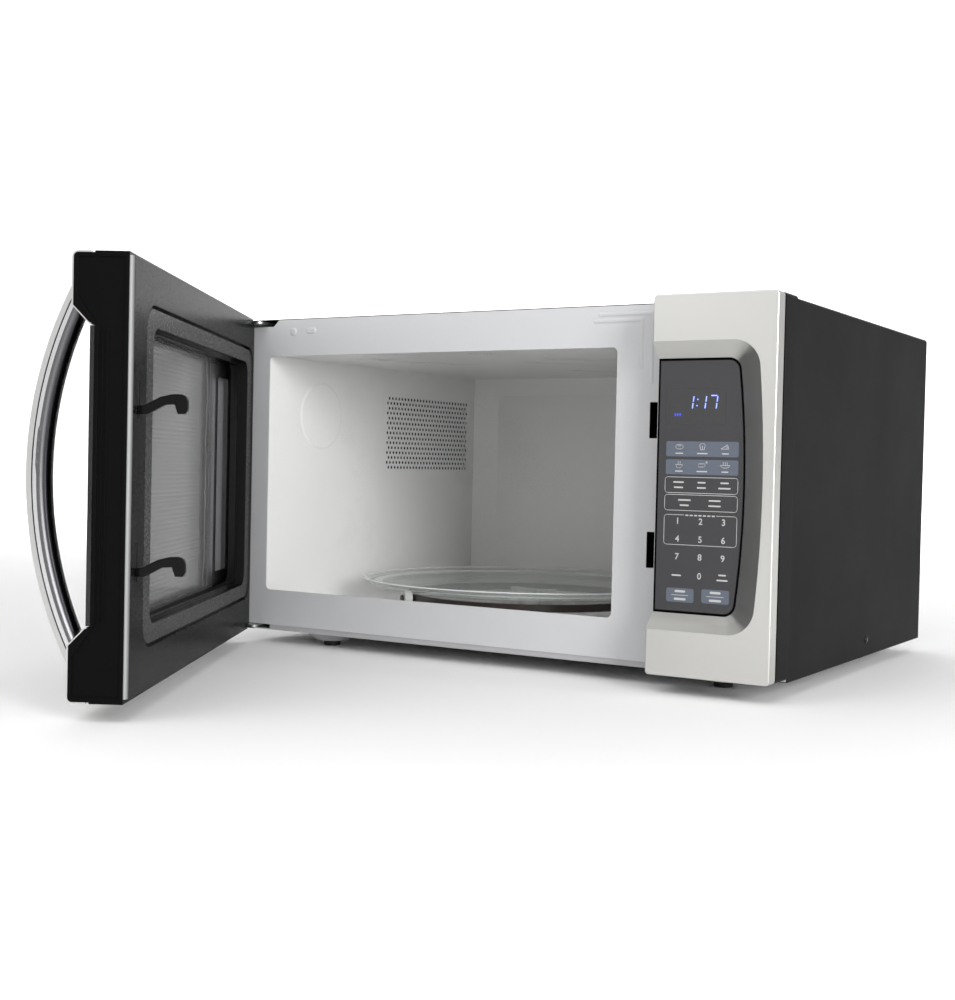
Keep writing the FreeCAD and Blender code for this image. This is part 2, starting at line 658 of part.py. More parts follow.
def interlock_switch(side, level):
    """A microswitch on one side of the latch housing, bored for its plunger."""
    x_span = ("418", "428") if side == "right" else ("392", "402")
    bore_from = "417" if side == "right" else "396"
    case = box(x_span, ("12", "28"), (level + " - 14", level + " + 14"))
    tab_x = ("428", "433") if side == "right" else ("387", "392")
    tabs = [box(tab_x, ("17", "23"), (level + " + %d" % shift, level + " + %.1f" % (shift + 0.8)))
            for shift in (-9, 0, 8)]
    return cut(join(case, *tabs), rod("plunger_radius + 0.05", "7", (bore_from, "plunger_y", level), "x"))


def plunger(side, level):
    start = "slot_x + slot_width / 2 - 0.3" if side == "right" else "slot_x - slot_width / 2 + 0.3 - 7.4"
    return rod("plunger_radius", "7.4", (start, "plunger_y", level), "x")


# ---------------------------------------------------------------- machine bay


def waveguide():
    tube = cut(box(("cavity_right + sheet", "guide_right"), ("guide_front", "guide_back"),
                   ("guide_low", "guide_high")),
               box(("cavity_right + 2 * sheet", "guide_right - sheet"),
                   ("guide_front + sheet", "guide_back - sheet"),
                   ("guide_low + sheet", "guide_high - sheet")))
    window = box(("cavity_right", "cavity_right + 3"), ("guide_front + 10", "guide_front + 70"),
                 ("guide_low + 7", "guide_high - 7"))
    return cut(tube, window, rod("10", "4", ("guide_right - 2", "tube_y", "tube_z"), "x"))


def magnetron():
    yoke = cut(box(("guide_right", "466"), ("tube_y - 40", "tube_y + 40"),
                   ("tube_z - 43", "tube_z + 43")),
               box(("guide_right + 1.6", "464.4"), ("tube_y - 41", "tube_y + 41"),
                   ("tube_z - 41.4", "tube_z + 41.4")))
    anode = rod("19", "466 - guide_right", ("guide_right", "tube_y", "tube_z"), "x")
    antenna = rod("9", "17", ("guide_right - 16", "tube_y", "tube_z"), "x")
    fins = [box(("guide_right + %d" % gap, "guide_right + %.1f" % (gap + 0.8)), ("tube_y - 38", "tube_y + 38"),
                ("tube_z - 42", "tube_z + 42")) for gap in range(8, 56, 6)]
    filter_box = box(("466", "494"), ("tube_y - 30", "tube_y + 30"), ("tube_z - 38", "tube_z + 38"))
    return join(yoke, anode, antenna, *fins, filter_box)


def transformer_core():
    core = box(("397", "487"), ("262", "318"), ("4", "79"))
    windows = [box(span, ("261", "319"), ("19", "64")) for span in (("412", "427"), ("457", "472"))]
    foot_plate = box(("392", "492"), ("262", "318"), ("2 * sheet", "4"))
    return join(cut(core, *windows), foot_plate)


def transformer_coil():
    winding = rounded(box(("412.3", "471.7"), ("247", "333"), ("19.3", "63.7")), "8", "z")
    return cut(winding, box(("426.7", "457.3"), ("261.7", "318.3"), ("10", "70")))


def capacitor():
    can = rounded(box(("400", "452"), ("40", "128"), ("5", "37")), "15", "y")
    strap = box(("396", "456"), ("78", "90"), ("2 * sheet", "5"))
    tags = [box((x, x + " + 0.8"), ("128", "138"), ("18", "24")) for x in ("416", "436")]
    return join(can, strap, *tags)


def diode():
    body = rod("3.5", "22", ("470", "56", "12"), "y")
    lead = rod("1", "14", ("470", "42", "12"), "y")
    foot_tag = box(("465", "475"), ("38", "46"), ("2 * sheet", "2.6"))
    return join(body, lead, box(("469", "471"), ("40", "43"), ("2", "12")), foot_tag)


def lamp():
    holder = box(("cavity_right + sheet", "cavity_right + sheet + 34"), ("272", "308"), ("196", "234"))
    hollow = box(("cavity_right", "cavity_right + sheet + 31"), ("274", "306"), ("198", "232"))
    socket = rod("8", "14", ("399", "290", "215"), "x")
    bulb = drawn(Part.makeSphere(9, at("392", "290", "215")))
    return join(cut(holder, hollow), socket, bulb)


def filter_board():
    board = box(("395", "455"), ("362", "363.6"), ("92", "140"))
    posts = [rod("3", "case_depth - 2 * sheet - 363.6", (x, "363.6", z), "y")
             for x in ("400", "450") for z in ("97", "135")]
    fuse = rod("3", "22", ("402", "357", "126"), "x")
    clips = [box((low, low + " + 4"), ("354", "362"), ("122", "130")) for low in ("403", "419")]
    choke = rod("11", "12", ("438", "350", "114"), "y")
    return join(board, *posts, fuse, *clips, choke)


def thermal_cutouts():
    on_tube = join(rod("8", "7", ("435", "tube_y", "tube_z + 43")),
                   box(("424", "446"), ("tube_y - 5", "tube_y + 5"), ("tube_z + 43", "tube_z + 44")))
    on_cavity = join(rod("8", "7", ("table_x", "table_y", "cavity_high + sheet")),
                     box(("table_x - 11", "table_x + 11"), ("table_y - 5", "table_y + 5"),
                         ("cavity_high + sheet", "cavity_high + sheet + 1")))
    return gather(on_tube, on_cavity)


def fan_shroud():
    frame = rounded(box(("fan_x - 52", "fan_x + 52"), ("354", "360"), ("tube_z - 52", "tube_z + 52")),
                    "6", "y")
    tunnel = rod("fan_radius + 2", "8", ("fan_x", "353", "tube_z"), "y")
    posts = [rod("4", "case_depth - 2 * sheet - 360", ("fan_x + %d" % x, "360", "tube_z + %d" % z), "y")
             for x in (-46, 46) for z in (-46, 46)]
    arms = [box(("fan_x + %d" % x, "fan_x + %d" % (x + 6)), ("340", "354"), ("tube_z - 52", "tube_z - 47"))
            for x in (-20, 14)]
    bridge = box(("fan_x - 20", "fan_x + 20"), ("336", "340"), ("tube_z - 52", "tube_z - 18"))
    return join(cut(frame, tunnel), *posts, *arms, bridge)


def fan_motor():
    core = box(("fan_x - 24", "fan_x + 24"), ("316", "336"), ("tube_z - 22", "tube_z + 22"))
    coil = rounded(box(("fan_x - 15", "fan_x + 15"), ("308", "336"), ("tube_z - 34", "tube_z - 22")),
                   "3", "x")
    return cut(join(core, coil), rod("1.65", "20", ("fan_x", "324", "tube_z"), "y"))


def fan_rotor():
    centre = at("fan_x", "344", "tube_z")
    hub = Part.makeCylinder(11, 12, centre, Vector(0, 1, 0))
    shaft = Part.makeCylinder(1.6, 16, at("fan_x", "328.5", "tube_z"), Vector(0, 1, 0))
    blades = []
    for count in range(5):
        blade = Part.makeBox(18, 1.4, size("fan_radius") - 11, centre + Vector(-9, 5, 9.5))
        blade.rotate(centre + Vector(0, 6, 0), Vector(0, 0, 1), 28)
        blade.rotate(centre, Vector(0, 1, 0), 72 * count)
        blades.append(blade)
    return drawn(hub.fuse([shaft] + blades))


# ---------------------------------------------------------------- door


def leaf_clearances():
    """Room at the hinge corners for the fixed leaves, clear through the whole swing."""
    return [box(("-3", "27"), ("-14.5", "1"), span) for span in (("1.8", "5.6"), ("278.8", "282.6"))]


def door_skin():
    front = ("-front_depth", "-front_depth + skin_return")
    block = box(("door_left", "door_right"), front, ("0", "door_high"))
    outside = rounded(block, "edge_round", "x", lambda edge: edge.CenterOfMass.y < -39)
    inside = box(("door_left + skin", "door_right + 1"), ("-front_depth + skin", "0"),
                 ("skin", "door_high - skin"))
    inside = rounded(inside, "edge_round - skin", "x", lambda edge: edge.CenterOfMass.y < -35)
    return cut(cut(outside, cut(inside, door_recess(1.0, 20))), door_recess(0, 20), *handle_holes())


def door_frame():
    under = rounded(box(("door_left + skin + 0.1", "door_right"), ("-front_depth + skin + 0.1", "-24.5"),
                        ("skin + 0.1", "door_high - skin - 0.1")), "edge_round - skin - 0.1", "x",
                    lambda edge: edge.CenterOfMass.y < -35)
    rim = rounded(box(("door_left", "door_right"), ("-25.5", "door_inner - cover_thick"), ("0", "door_high")),
                  "3", "z", lambda edge: edge.CenterOfMass.x < 10 and edge.CenterOfMass.y > -5)
    pocket = box(("11", "door_right - 4.5"), ("-24", "1"), ("6", "278.5"))
    bands = [box(("11", "door_right - 4.5"), ("-36.4", "-22"), span)
             for span in (("253.5", "280"), ("4.5", "33.5"))]
    hinge_side = box(("2", "12"), ("-36", "-16"), ("6", "278.5"))
    window = slab(("44", "398"), ("-30", "-20"), ("58", "229"), "8")
    bores = [rod("bush_radius", "8.6", ("hinge_x", "hinge_y", z)) for z in ("5.5", "270.3")]
    ribs = [box(("door_right - 2", "door_right - 0.2"), y, ("52", "235"))
            for y in (("-20.4", "-19.6"), ("-17.6", "-16.8"))]
    hollow = cut(join(under, rim), door_recess(1.1, 25.3), pocket, *bands, hinge_side, window,
                 edge_pocket(), *bores, *leaf_clearances(), *handle_holes())
    return join(hollow, *ribs)


def edge_pocket():
    """The shallow pocket in the door's free edge, which leaves a raised rim round it."""
    profile = [(-36.4, 4), (-36.4, 29.5), (-22.6, 50), (-22.6, 237), (-36.4, 257.5), (-36.4, 281),
               (-6.4, 281), (-6.4, 4)]
    corners = [Vector(size("door_right") - 1, y, z) for y, z in profile + profile[:1]]
    return drawn(Part.Face(Part.makePolygon(corners)).extrude(Vector(3, 0, 0)))


def handle_holes():
    return [rod("2.05", "24", ("(handle_left + handle_right) / 2", "-44", "handle_mid + %s" % reach), "y")
            for reach in ("screw_reach", "-screw_reach")]


def handle_screws():
    screws = []
    for level in ("handle_mid + screw_reach", "handle_mid - screw_reach"):
        spot = ("(handle_left + handle_right) / 2", "-43", level)
        head = rod("3.6", "2.2", (spot[0], "-24", level), "y")
        screws.append(join(rod("2", "19.2", spot, "y"), head))
    return gather(*screws)


def handle_arc(out_level, thick, left, right):
    """A bowed bar in front of the recess: part of a flat ring about a far centre, cut off at the door."""
    curve = size("handle_curve") - (size("handle_out") - out_level)
    centre = Vector(left, -out_level + curve, size("handle_mid"))
    ring = Part.makeCylinder(curve, right - left, centre, Vector(1, 0, 0))
    ring = ring.cut(Part.makeCylinder(curve - thick, right - left, centre, Vector(1, 0, 0)))
    front = Part.makeBox(right - left, 60, 260, Vector(left, -90, size("handle_mid") - 130))
    return ring.common(front)


def door_envelope():
    """The solid outline of the door's front near its free edge, which the handle's ends are cut to."""
    low, high, slope = size("recess_low"), size("recess_high"), size("recess_slope")
    front, floor = -size("front_depth") - 0.02, -size("front_depth - recess_depth")
    profile = [(front, -20), (front, low), (floor, low + slope), (floor, high - slope), (front, high),
               (front, 320), (0, 320), (0, -20), (front, -20)]
    corners = [Vector(size("handle_left") - 20, y, z) for y, z in profile]
    return drawn(Part.Face(Part.makePolygon(corners)).extrude(Vector(60, 0, 0)))


def handle_bar():
    level = size("handle_out - handle_cap")
    bar = handle_arc(level, size("handle_thick - handle_cap"), size("handle_left"), size("handle_right"))
    back = [number for number, edge in enumerate(bar.Edges) if edge.Curve.TypeId == "Part::GeomCircle"
            and edge.Curve.Radius < size("handle_curve - handle_thick") + 0.1]
    bar = bar.makeFillet(7.8, [bar.Edges[number] for number in back])
    return cut(drawn(bar), door_envelope(), *handle_holes())


def handle_cap():
    cap = handle_arc(size("handle_out"), size("handle_cap") - 0.02, size("handle_left") - 0.4,
                     size("handle_right") + 0.4)
    return cut(drawn(cap), door_envelope())


def door_window():
    return floor_pane(size("door_right"), size("floor_left"), 0.6, -28.3, -25.3)


def window_span(grow):
    """The window opening's x and z limits, moved outward by grow."""
    x = ("ring_left + ring_band - %s" % grow, "ring_right - ring_band + %s" % grow)
    z = ("ring_floor + ring_band_high - %s" % grow, "ring_top - ring_band_high + %s" % grow)
    return x, z


def ring_span(grow):
    """The window surround's outer x and z limits, moved outward by grow."""
    return (("ring_left - %s" % grow, "ring_right + %s" % grow),
            ("ring_floor - %s" % grow, "ring_top + %s" % grow))


def door_choke():
    tray = sheet_box(("11.4", "400"), ("screen_y - sheet - 0.1", "-5.5"), ("9", "275"), "sheet", "+y")
    x, z = window_span("-7")
    return cut(tray, slab(x, ("-26", "-20"), z, "8"))


def door_screen():
    x, z = window_span("-1")
    return slab(x, ("screen_y", "screen_y + 0.5"), z, "8")


def rounded_loop(x, z, radius, y):
    """A closed rounded rectangle in the plane at y."""
    x_low, x_high, z_low, z_high = size(x[0]), size(x[1]), size(z[0]), size(z[1])
    slant = radius * (1 - math.sqrt(0.5))
    edges = []
    for side_x, side_z in ((1, 1), (-1, 1), (-1, -1), (1, -1)):
        corner_x = x_high if side_x > 0 else x_low
        corner_z = z_high if side_z > 0 else z_low
        on_side = Vector(corner_x, y, corner_z - side_z * radius)
        on_top = Vector(corner_x - side_x * radius, y, corner_z)
        middle = Vector(corner_x - side_x * slant, y, corner_z - side_z * slant)
        arc = (on_side, middle, on_top) if side_x * side_z > 0 else (on_top, middle, on_side)
        edges.append(arc)
    outline_edges = []
    for arc, following in zip(edges, edges[1:] + edges[:1]):
        outline_edges.append(Part.Arc(*arc).toShape())
        outline_edges.append(Part.LineSegment(arc[2], following[0]).toShape())
    return Part.Wire(outline_edges)


WELL_STEPS = [("0", "-9", "13"), ("-2.5", "-17", "11"), ("-5", "-26", "9")]


def choke_cover():
    """The door's inner moulding: a plate, a window surround inside a groove, and a stepped well."""
    plate = box(("hinge_x + bush_radius + 0.6", "door_right - 0.4"),
                ("door_inner - cover_thick", "door_inner"), ("3.3", "282.2"))
    DOC.recompute()
    bevel = DOC.addObject("Part::Chamfer", "Bevel")
    bevel.Base = plate
    centres = [(number, edge.CenterOfMass) for number, edge in enumerate(plate.Shape.Edges, 1)]
    bevel.Edges = [(number, 2.5, 2.5) for number, centre in centres
                   if centre.x > 423 and centre.y > size("door_inner") - 0.1 and 100 < centre.z < 200]
    x, z = ring_span("1.2")
    backing = slab(x, ("-10.4", "door_inner - 1.5"), z, "20")
    tubes, hollows = [], []
    for (grow, floor, radius), end in zip(WELL_STEPS, ("-10.4", "-18.5", "screen_y + 0.6")):
        x, z = window_span(grow + " + 1.5")
        tubes.append(slab(x, (end, "-3"), z, radius + " + 1.5"))
        x, z = window_span(grow)
        hollows.append(slab(x, (floor, "2"), z, radius))
    x, z = ring_span("0")
    band = slab(x, ("door_inner - ring_drop", "2"), z, "19")
    groove = slab(x, ("door_inner - groove_deep", "1"), z, "19")
    x, z = ring_span("-groove_wide")
    groove = cut(groove, slab(x, ("-9", "2"), z, "19 - groove_wide"))
    slots = [box(("hook_x - 3", "hook_x + 3"), ("-10", "1"), span)
             for span in (("180", "205"), ("76.5", "101.5"))]
    return cut(join(bevel, backing, *tubes), band, *hollows, groove, *slots, *leaf_clearances())


def window_film():
    x, z = window_span("-2.8")
    return slab(x, ("-16.9", "-16.5"), z, "10.5")


def latch_hooks():
    """Two hooks on one upright bar, cut from one plate."""
    low, inner = size("hook_z"), size("door_inner")
    reach, drop = size("hook_reach"), size("hook_drop")
    half = size("hook_thick") / 2
    arm = [(-6, 2.5), (4, 3), (14, 8.5), (22, 10.5), (28, 10.5), (reach - 1, 9), (reach, 6.5), (reach, 0),
           (reach - 1.5, -2), (reach - 6.5, -2), (reach - 8.5, 4), (17, 3.5), (6, -2.5), (-6, -2.5)]
    pieces = []
    for base in (low, low - drop):
        corners = [Vector(size("hook_x") - half, inner + y, base + z) for y, z in arm]
        pieces.append(Part.Face(Part.makePolygon(corners + corners[:1])).extrude(Vector(2 * half, 0, 0)))
    foot = Vector(size("hook_x") - half, inner - 18.5, low - drop - 12)
    bar = Part.makeBox(2 * half, 13, drop + 26, foot)
    shape = bar.fuse(pieces).removeSplitter()
    return drawn(shape)


def latch_spring():
    return cut(rod("2.4", "24", ("hook_x", "-13", "202")), rod("1.7", "26", ("hook_x", "-13", "201")))


def hinge(pin_from, pin_to, leaf_low, tab):
    """A flat leaf welded behind the front plate, with the pin that the door turns on."""
    leaf = box(("1.8", "22"), ("-12", "14"), (leaf_low, leaf_low + " + leaf"))
    eased = rounded(leaf, "5", "z", lambda edge: edge.CenterOfMass.y < 0)
    upright = box(("3", "22"), ("sheet", "sheet + leaf"), tab)
    pin = rod("pin_radius", "%s - %s" % (pin_to, pin_from), ("hinge_x", "hinge_y", pin_from))
    return join(eased, upright, pin)


def hinge_bushes():
    """Plain sleeves in the door that the pins run in."""
    bushes = []
    for low in ("5.7", "270.5"):
        sleeve = rod("bush_radius", "8", ("hinge_x", "hinge_y", low))
        bushes.append(cut(sleeve, rod("pin_radius + 0.06", "10", ("hinge_x", "hinge_y", low + " - 1"))))
    return gather(*bushes)


# ---------------------------------------------------------------- the whole oven

for name, (foot_x, foot_y) in FEET.items():
    node(name, foot(foot_x, foot_y))

for maker in (outer_cover, back_panel, base_plate, front_plate, cover_screws, cord_gland, cavity_shell,
              waveguide_cover, turntable_motor, motor_shaft, turntable_coupler, glass_tray, roller_ring,
              panel_skin, panel_frame, keypad_overlay, display_lens, control_board, latch_housing,
              waveguide, magnetron, transformer_core, transformer_coil, capacitor, diode, lamp, filter_board,
              thermal_cutouts, fan_shroud, fan_motor, fan_rotor):
    node(maker.__name__, maker())

for number, degrees in enumerate(around(3, 120, "roller_turn"), 1):
    node("ring_roller_%d" % number, ring_roller(degrees))

for name, side, level in (("upper", "right", "slot_upper"), ("lower", "right", "slot_lower"),
                          ("monitor", "left", "slot_lower")):
    node("switch_" + name, interlock_switch(side, level))
    node("plunger_" + name, plunger(side, level))

node("hinge_lower", hinge("5", "13.5", "3", ("5", "30")))
node("hinge_upper", hinge("270.6", "279.4", "279.4", ("255", "279.4")))

for maker in (door_frame, door_skin, door_window, door_choke, door_screen, choke_cover, window_film,
              handle_bar, handle_cap, handle_screws, latch_hooks, latch_spring, hinge_bushes):
    node(maker.__name__, maker(), door=True)

DOC.recompute()
for thing in DOC.Objects:
    if {"Invalid", "Error"} & set(thing.State):
        raise RuntimeError("%s failed: %s" % (thing.Name, thing.State))
for thing in NODES:
    if thing.Shape.isNull() or not thing.Shape.isValid() or not thing.Shape.Solids:
        raise RuntimeError("%s has no valid shape" % thing.Label)
    thing.Shape.exportStep("parts/%s.step" % thing.Label)
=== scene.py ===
import json
import math

import bmesh
import bpy
from mathutils import Matrix, Vector


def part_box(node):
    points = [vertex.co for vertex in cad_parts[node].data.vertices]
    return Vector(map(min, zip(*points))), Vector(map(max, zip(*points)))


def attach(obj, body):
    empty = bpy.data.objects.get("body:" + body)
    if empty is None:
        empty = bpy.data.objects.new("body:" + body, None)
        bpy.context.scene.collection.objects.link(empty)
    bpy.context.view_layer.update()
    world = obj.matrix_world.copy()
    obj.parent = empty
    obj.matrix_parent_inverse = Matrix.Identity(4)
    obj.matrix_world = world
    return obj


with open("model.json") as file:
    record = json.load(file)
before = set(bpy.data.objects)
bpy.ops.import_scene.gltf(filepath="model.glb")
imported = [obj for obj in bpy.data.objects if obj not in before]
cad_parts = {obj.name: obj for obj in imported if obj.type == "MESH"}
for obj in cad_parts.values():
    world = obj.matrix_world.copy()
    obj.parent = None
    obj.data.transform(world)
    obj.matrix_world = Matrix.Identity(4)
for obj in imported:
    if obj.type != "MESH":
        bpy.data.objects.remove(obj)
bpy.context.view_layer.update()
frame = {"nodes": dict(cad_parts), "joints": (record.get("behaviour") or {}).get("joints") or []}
NODES = frame["nodes"]
JOINTS = {joint["name"]: joint for joint in frame["joints"]}
scene = bpy.context.scene


# ------------------------------------------------------------------ places

MM = 0.001
DOOR_TURN = -JOINTS["door_hinge"]["range_deg"][1]  # degrees from the shut door to where it stands open
HINGE = Vector((*JOINTS["door_hinge"]["pos_m"][:2], 0))
HINGE_ACROSS, HINGE_DEPTH = 5.0, -7.5  # the hinge's axis in the shut door's own millimetres
DOOR_OUT = Vector((math.cos(math.radians(DOOR_TURN)), math.sin(math.radians(DOOR_TURN)), 0))
DOOR_BACK = Vector((-DOOR_OUT.y, DOOR_OUT.x, 0))
CASE_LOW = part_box("outer_cover")[0].z  # the level from which heights on the door are measured
TRAY_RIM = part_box("glass_tray")[1].z
GROOVE_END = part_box("panel_skin")[1].y + 2.5 * MM  # where the groove behind the panel's steel skin ends


def along_at(across):
    """Metres along the open door of a place given in the shut door's millimetres."""
    return DOOR_OUT.dot(HINGE) + (across - HINGE_ACROSS) * MM


def depth_at(depth):
    """Metres through the open door of a place given in the shut door's millimetres."""
    return DOOR_BACK.dot(HINGE) + (depth - HINGE_DEPTH) * MM


def door_point(across, depth, rise):
    """Millimetres in the shut door's frame, carried to where the open door stands."""
    flat = Vector((across - HINGE_ACROSS, depth - HINGE_DEPTH, 0)) * MM
    turned = DOOR_OUT * flat.x + DOOR_BACK * flat.y + HINGE
    return Vector((turned.x, turned.y, CASE_LOW + rise * MM))


# ------------------------------------------------------------------ node materials


class Shader:
    """A material's node tree with short calls for the nodes used here."""

    SOCKETS = {
        "metal": "Metallic", "rough": "Roughness", "coat": "Coat Weight", "coat_rough": "Coat Roughness",
        "ior": "IOR", "alpha": "Alpha", "aniso": "Anisotropic", "specular": "Specular IOR Level",
        "glow": "Emission Strength",
    }

    def __init__(self, name):
        self.material = bpy.data.materials.new(name)
        self.material.use_nodes = True
        self.tree = self.material.node_tree
        self.surface = self.tree.nodes["Principled BSDF"]

    def add(self, kind, **settings):
        made = self.tree.nodes.new(kind)
        for key, value in settings.items():
            setattr(made, key, value)
        return made

    def link(self, out, into):
        self.tree.links.new(out, into)

    def set(self, **values):
        """Constants on the surface's sockets."""
        for key, value in values.items():
            self.surface.inputs[self.SOCKETS[key]].default_value = value

    def colour(self, value):
        """The base colour, a constant or another node's colour."""
        if isinstance(value, tuple):
            self.surface.inputs["Base Color"].default_value = (*value, 1)
        else:
            self.link(value, self.surface.inputs["Base Color"])

    def roughness(self, value):
        self.link(value, self.surface.inputs["Roughness"])

    def place(self, turn=0.0, scale=(1, 1, 1)):
        """Object coordinates turned about +Z by turn degrees, then scaled."""
        source = self.add("ShaderNodeTexCoord")
        turned = self.add("ShaderNodeMapping")
        turned.inputs["Rotation"].default_value = (0, 0, math.radians(-turn))
        scaled = self.add("ShaderNodeMapping")
        scaled.inputs["Scale"].default_value = scale
        self.link(source.outputs["Object"], turned.inputs["Vector"])
        self.link(turned.outputs["Vector"], scaled.inputs["Vector"])
        return scaled.outputs["Vector"]

    def split(self, vector):
        """A vector's X, Y and Z."""
        made = self.add("ShaderNodeSeparateXYZ")
        self.link(vector, made.inputs["Vector"])
        return made.outputs["X"], made.outputs["Y"], made.outputs["Z"]

    def noise(self, vector, scale, detail=3.0, roughness=0.55):
        made = self.add("ShaderNodeTexNoise")
        made.inputs["Scale"].default_value = scale
        made.inputs["Detail"].default_value = detail
        made.inputs["Roughness"].default_value = roughness
        self.link(vector, made.inputs["Vector"])
        return made.outputs["Fac"]

    def span(self, value, low, high, start=0.0, end=1.0):
        """The stretch from start to end mapped on the stretch from low to high, and held there."""
        made = self.add("ShaderNodeMapRange")
        made.inputs["From Min"].default_value = start
        made.inputs["From Max"].default_value = end
        made.inputs["To Min"].default_value = low
        made.inputs["To Max"].default_value = high
        self.link(value, made.inputs["Value"])
        return made.outputs["Result"]

    def math(self, operation, first, second=None):
        made = self.add("ShaderNodeMath", operation=operation)
        for socket, value in zip(made.inputs, (first, second)):
            if value is None:
                continue
            if isinstance(value, (int, float)):
                socket.default_value = value
            else:
                self.link(value, socket)
        return made.outputs["Value"]

    def blend(self, factor, low, high):
        """A colour between two, by factor."""
        made = self.add("ShaderNodeMix", data_type="RGBA")
        self.link(factor, made.inputs["Factor"])
        sockets = [socket for socket in made.inputs if socket.type == "RGBA"]
        for socket, value in zip(sockets, (low, high)):
            if isinstance(value, tuple):
                socket.default_value = (*value, 1)
            else:
                self.link(value, socket)
        return next(socket for socket in made.outputs if socket.type == "RGBA")

    def bump(self, height, strength, distance, edge=0.0):
        """Relief from a height, with edges softened over a radius where one is given."""
        made = self.add("ShaderNodeBump")
        if edge:
            softened = self.add("ShaderNodeBevel", samples=4)
            softened.inputs["Radius"].default_value = edge
            self.link(softened.outputs["Normal"], made.inputs["Normal"])
        made.inputs["Strength"].default_value = strength
        made.inputs["Distance"].default_value = distance
        self.link(height, made.inputs["Height"])
        self.link(made.outputs["Normal"], self.surface.inputs["Normal"])


def shade(base, by):
    """A colour made lighter or darker by a factor."""
    return tuple(max(0.0, min(1.0, channel * by)) for channel in base)


CLOUD = 9.0  # scale of the broad wear, so that a cloud is about a hand wide


def finish(name, base, rough, grain=900.0, stretch=(1, 1, 1), turn=0.0, spread=0.1, rough_spread=0.08,
           depth=0.00003, strength=0.3, edge=0.0, **settings):
    """A surface with fine grain in its colour, roughness and relief, and broader cloudy wear."""
    made = Shader(name)
    fine = made.noise(made.place(turn, stretch), grain)
    broad = made.noise(made.place(turn), CLOUD, detail=4.0)
    mottled = made.blend(fine, shade(base, 1 - spread), shade(base, 1 + spread))
    worn = made.span(broad, 0.0, 0.35, 0.45, 0.75)
    made.colour(made.blend(worn, mottled, shade(base, 1 - spread * 0.6)))
    cloudy = made.span(broad, -rough_spread, rough_spread, 0.3, 0.7)
    grainy = made.span(fine, rough - rough_spread, rough + rough_spread, 0.2, 0.8)
    made.roughness(made.math("ADD", cloudy, grainy))
    made.bump(fine, strength, depth, edge)
    made.set(**settings)
    return made.material


def brushed(name, turn=0.0):
    """Stainless steel with its grain running across the front."""
    return finish(name, (0.64, 0.635, 0.61), 0.30, grain=3800, stretch=(0.008, 1, 1), turn=turn, spread=0.015,
                  rough_spread=0.015, depth=0.000004, strength=0.15, metal=1.0, aniso=0.3)


def moulded_cover():
    """The door's inner moulding: satin plate, paler window surround, dark well and a painted highlight down
    the arris.
    """
    surround_from, well_from = 0.5 * MM, 1.2 * MM  # below the plate's face
    arris_from, arris_width = along_at(420.7), 3.3 * MM
    made = Shader("door_inner_cover")
    turned = made.place(DOOR_TURN)
    along, through, _ = made.split(turned)
    below = made.math("SUBTRACT", depth_at(-0.8), through)
    surround = made.math("MULTIPLY", made.math("GREATER_THAN", below, surround_from),
                         made.math("LESS_THAN", below, well_from))
    well = made.math("GREATER_THAN", below, well_from)
    arris = made.math("GREATER_THAN", along, arris_from)
    fine = made.noise(turned, 700.0)
    broad = made.noise(turned, 7.0, detail=4.0)
    plate = made.blend(broad, (0.006, 0.006, 0.0065), (0.010, 0.010, 0.011))
    pale = made.blend(fine, (0.046, 0.046, 0.047), (0.054, 0.054, 0.055))
    moulding = made.blend(well, made.blend(surround, plate, pale), (0.011, 0.011, 0.0115))
    # Painted highlight: a silver streak down the arris at the free edge stands for light caught on its
    # rounded edge.
    across = made.span(along, 0.0, 1.0, arris_from, arris_from + arris_width)
    off_middle = made.math("ABSOLUTE", made.math("SUBTRACT", across, 0.55))
    painted_highlight = made.blend(made.span(off_middle, 0.0, 1.0, 0.05, 0.5), (0.34, 0.34, 0.34), (0.08, 0.08, 0.085))
    made.colour(made.blend(arris, moulding, painted_highlight))
    satin = made.span(fine, 0.22, 0.30, 0.3, 0.7)
    made.roughness(made.math("SUBTRACT", satin, made.math("MULTIPLY", well, 0.14)))
    made.set(specular=0.025)
    made.bump(fine, 0.2, 0.00002, edge=0.0006)
    return made.material


def panel_moulding():
    """Black moulding behind the panel's steel skin, with painted shade in the groove where the skin ends."""
    made = Shader("panel_moulding")
    vector = made.place()
    _, back, _ = made.split(vector)
    groove = made.math("LESS_THAN", back, GROOVE_END)
    fine = made.noise(vector, 1300.0)
    grain = made.blend(fine, (0.0055, 0.0055, 0.0058), (0.0085, 0.0085, 0.009))
    # Painted shade: near-black colour in the groove where the steel skin ends.
    made.colour(made.blend(groove, grain, (0.0005, 0.0005, 0.0005)))
    made.set(specular=0.035)
    made.roughness(made.span(fine, 0.40, 0.50))
    made.bump(fine, 0.3, 0.00003, edge=0.0005)
    return made.material


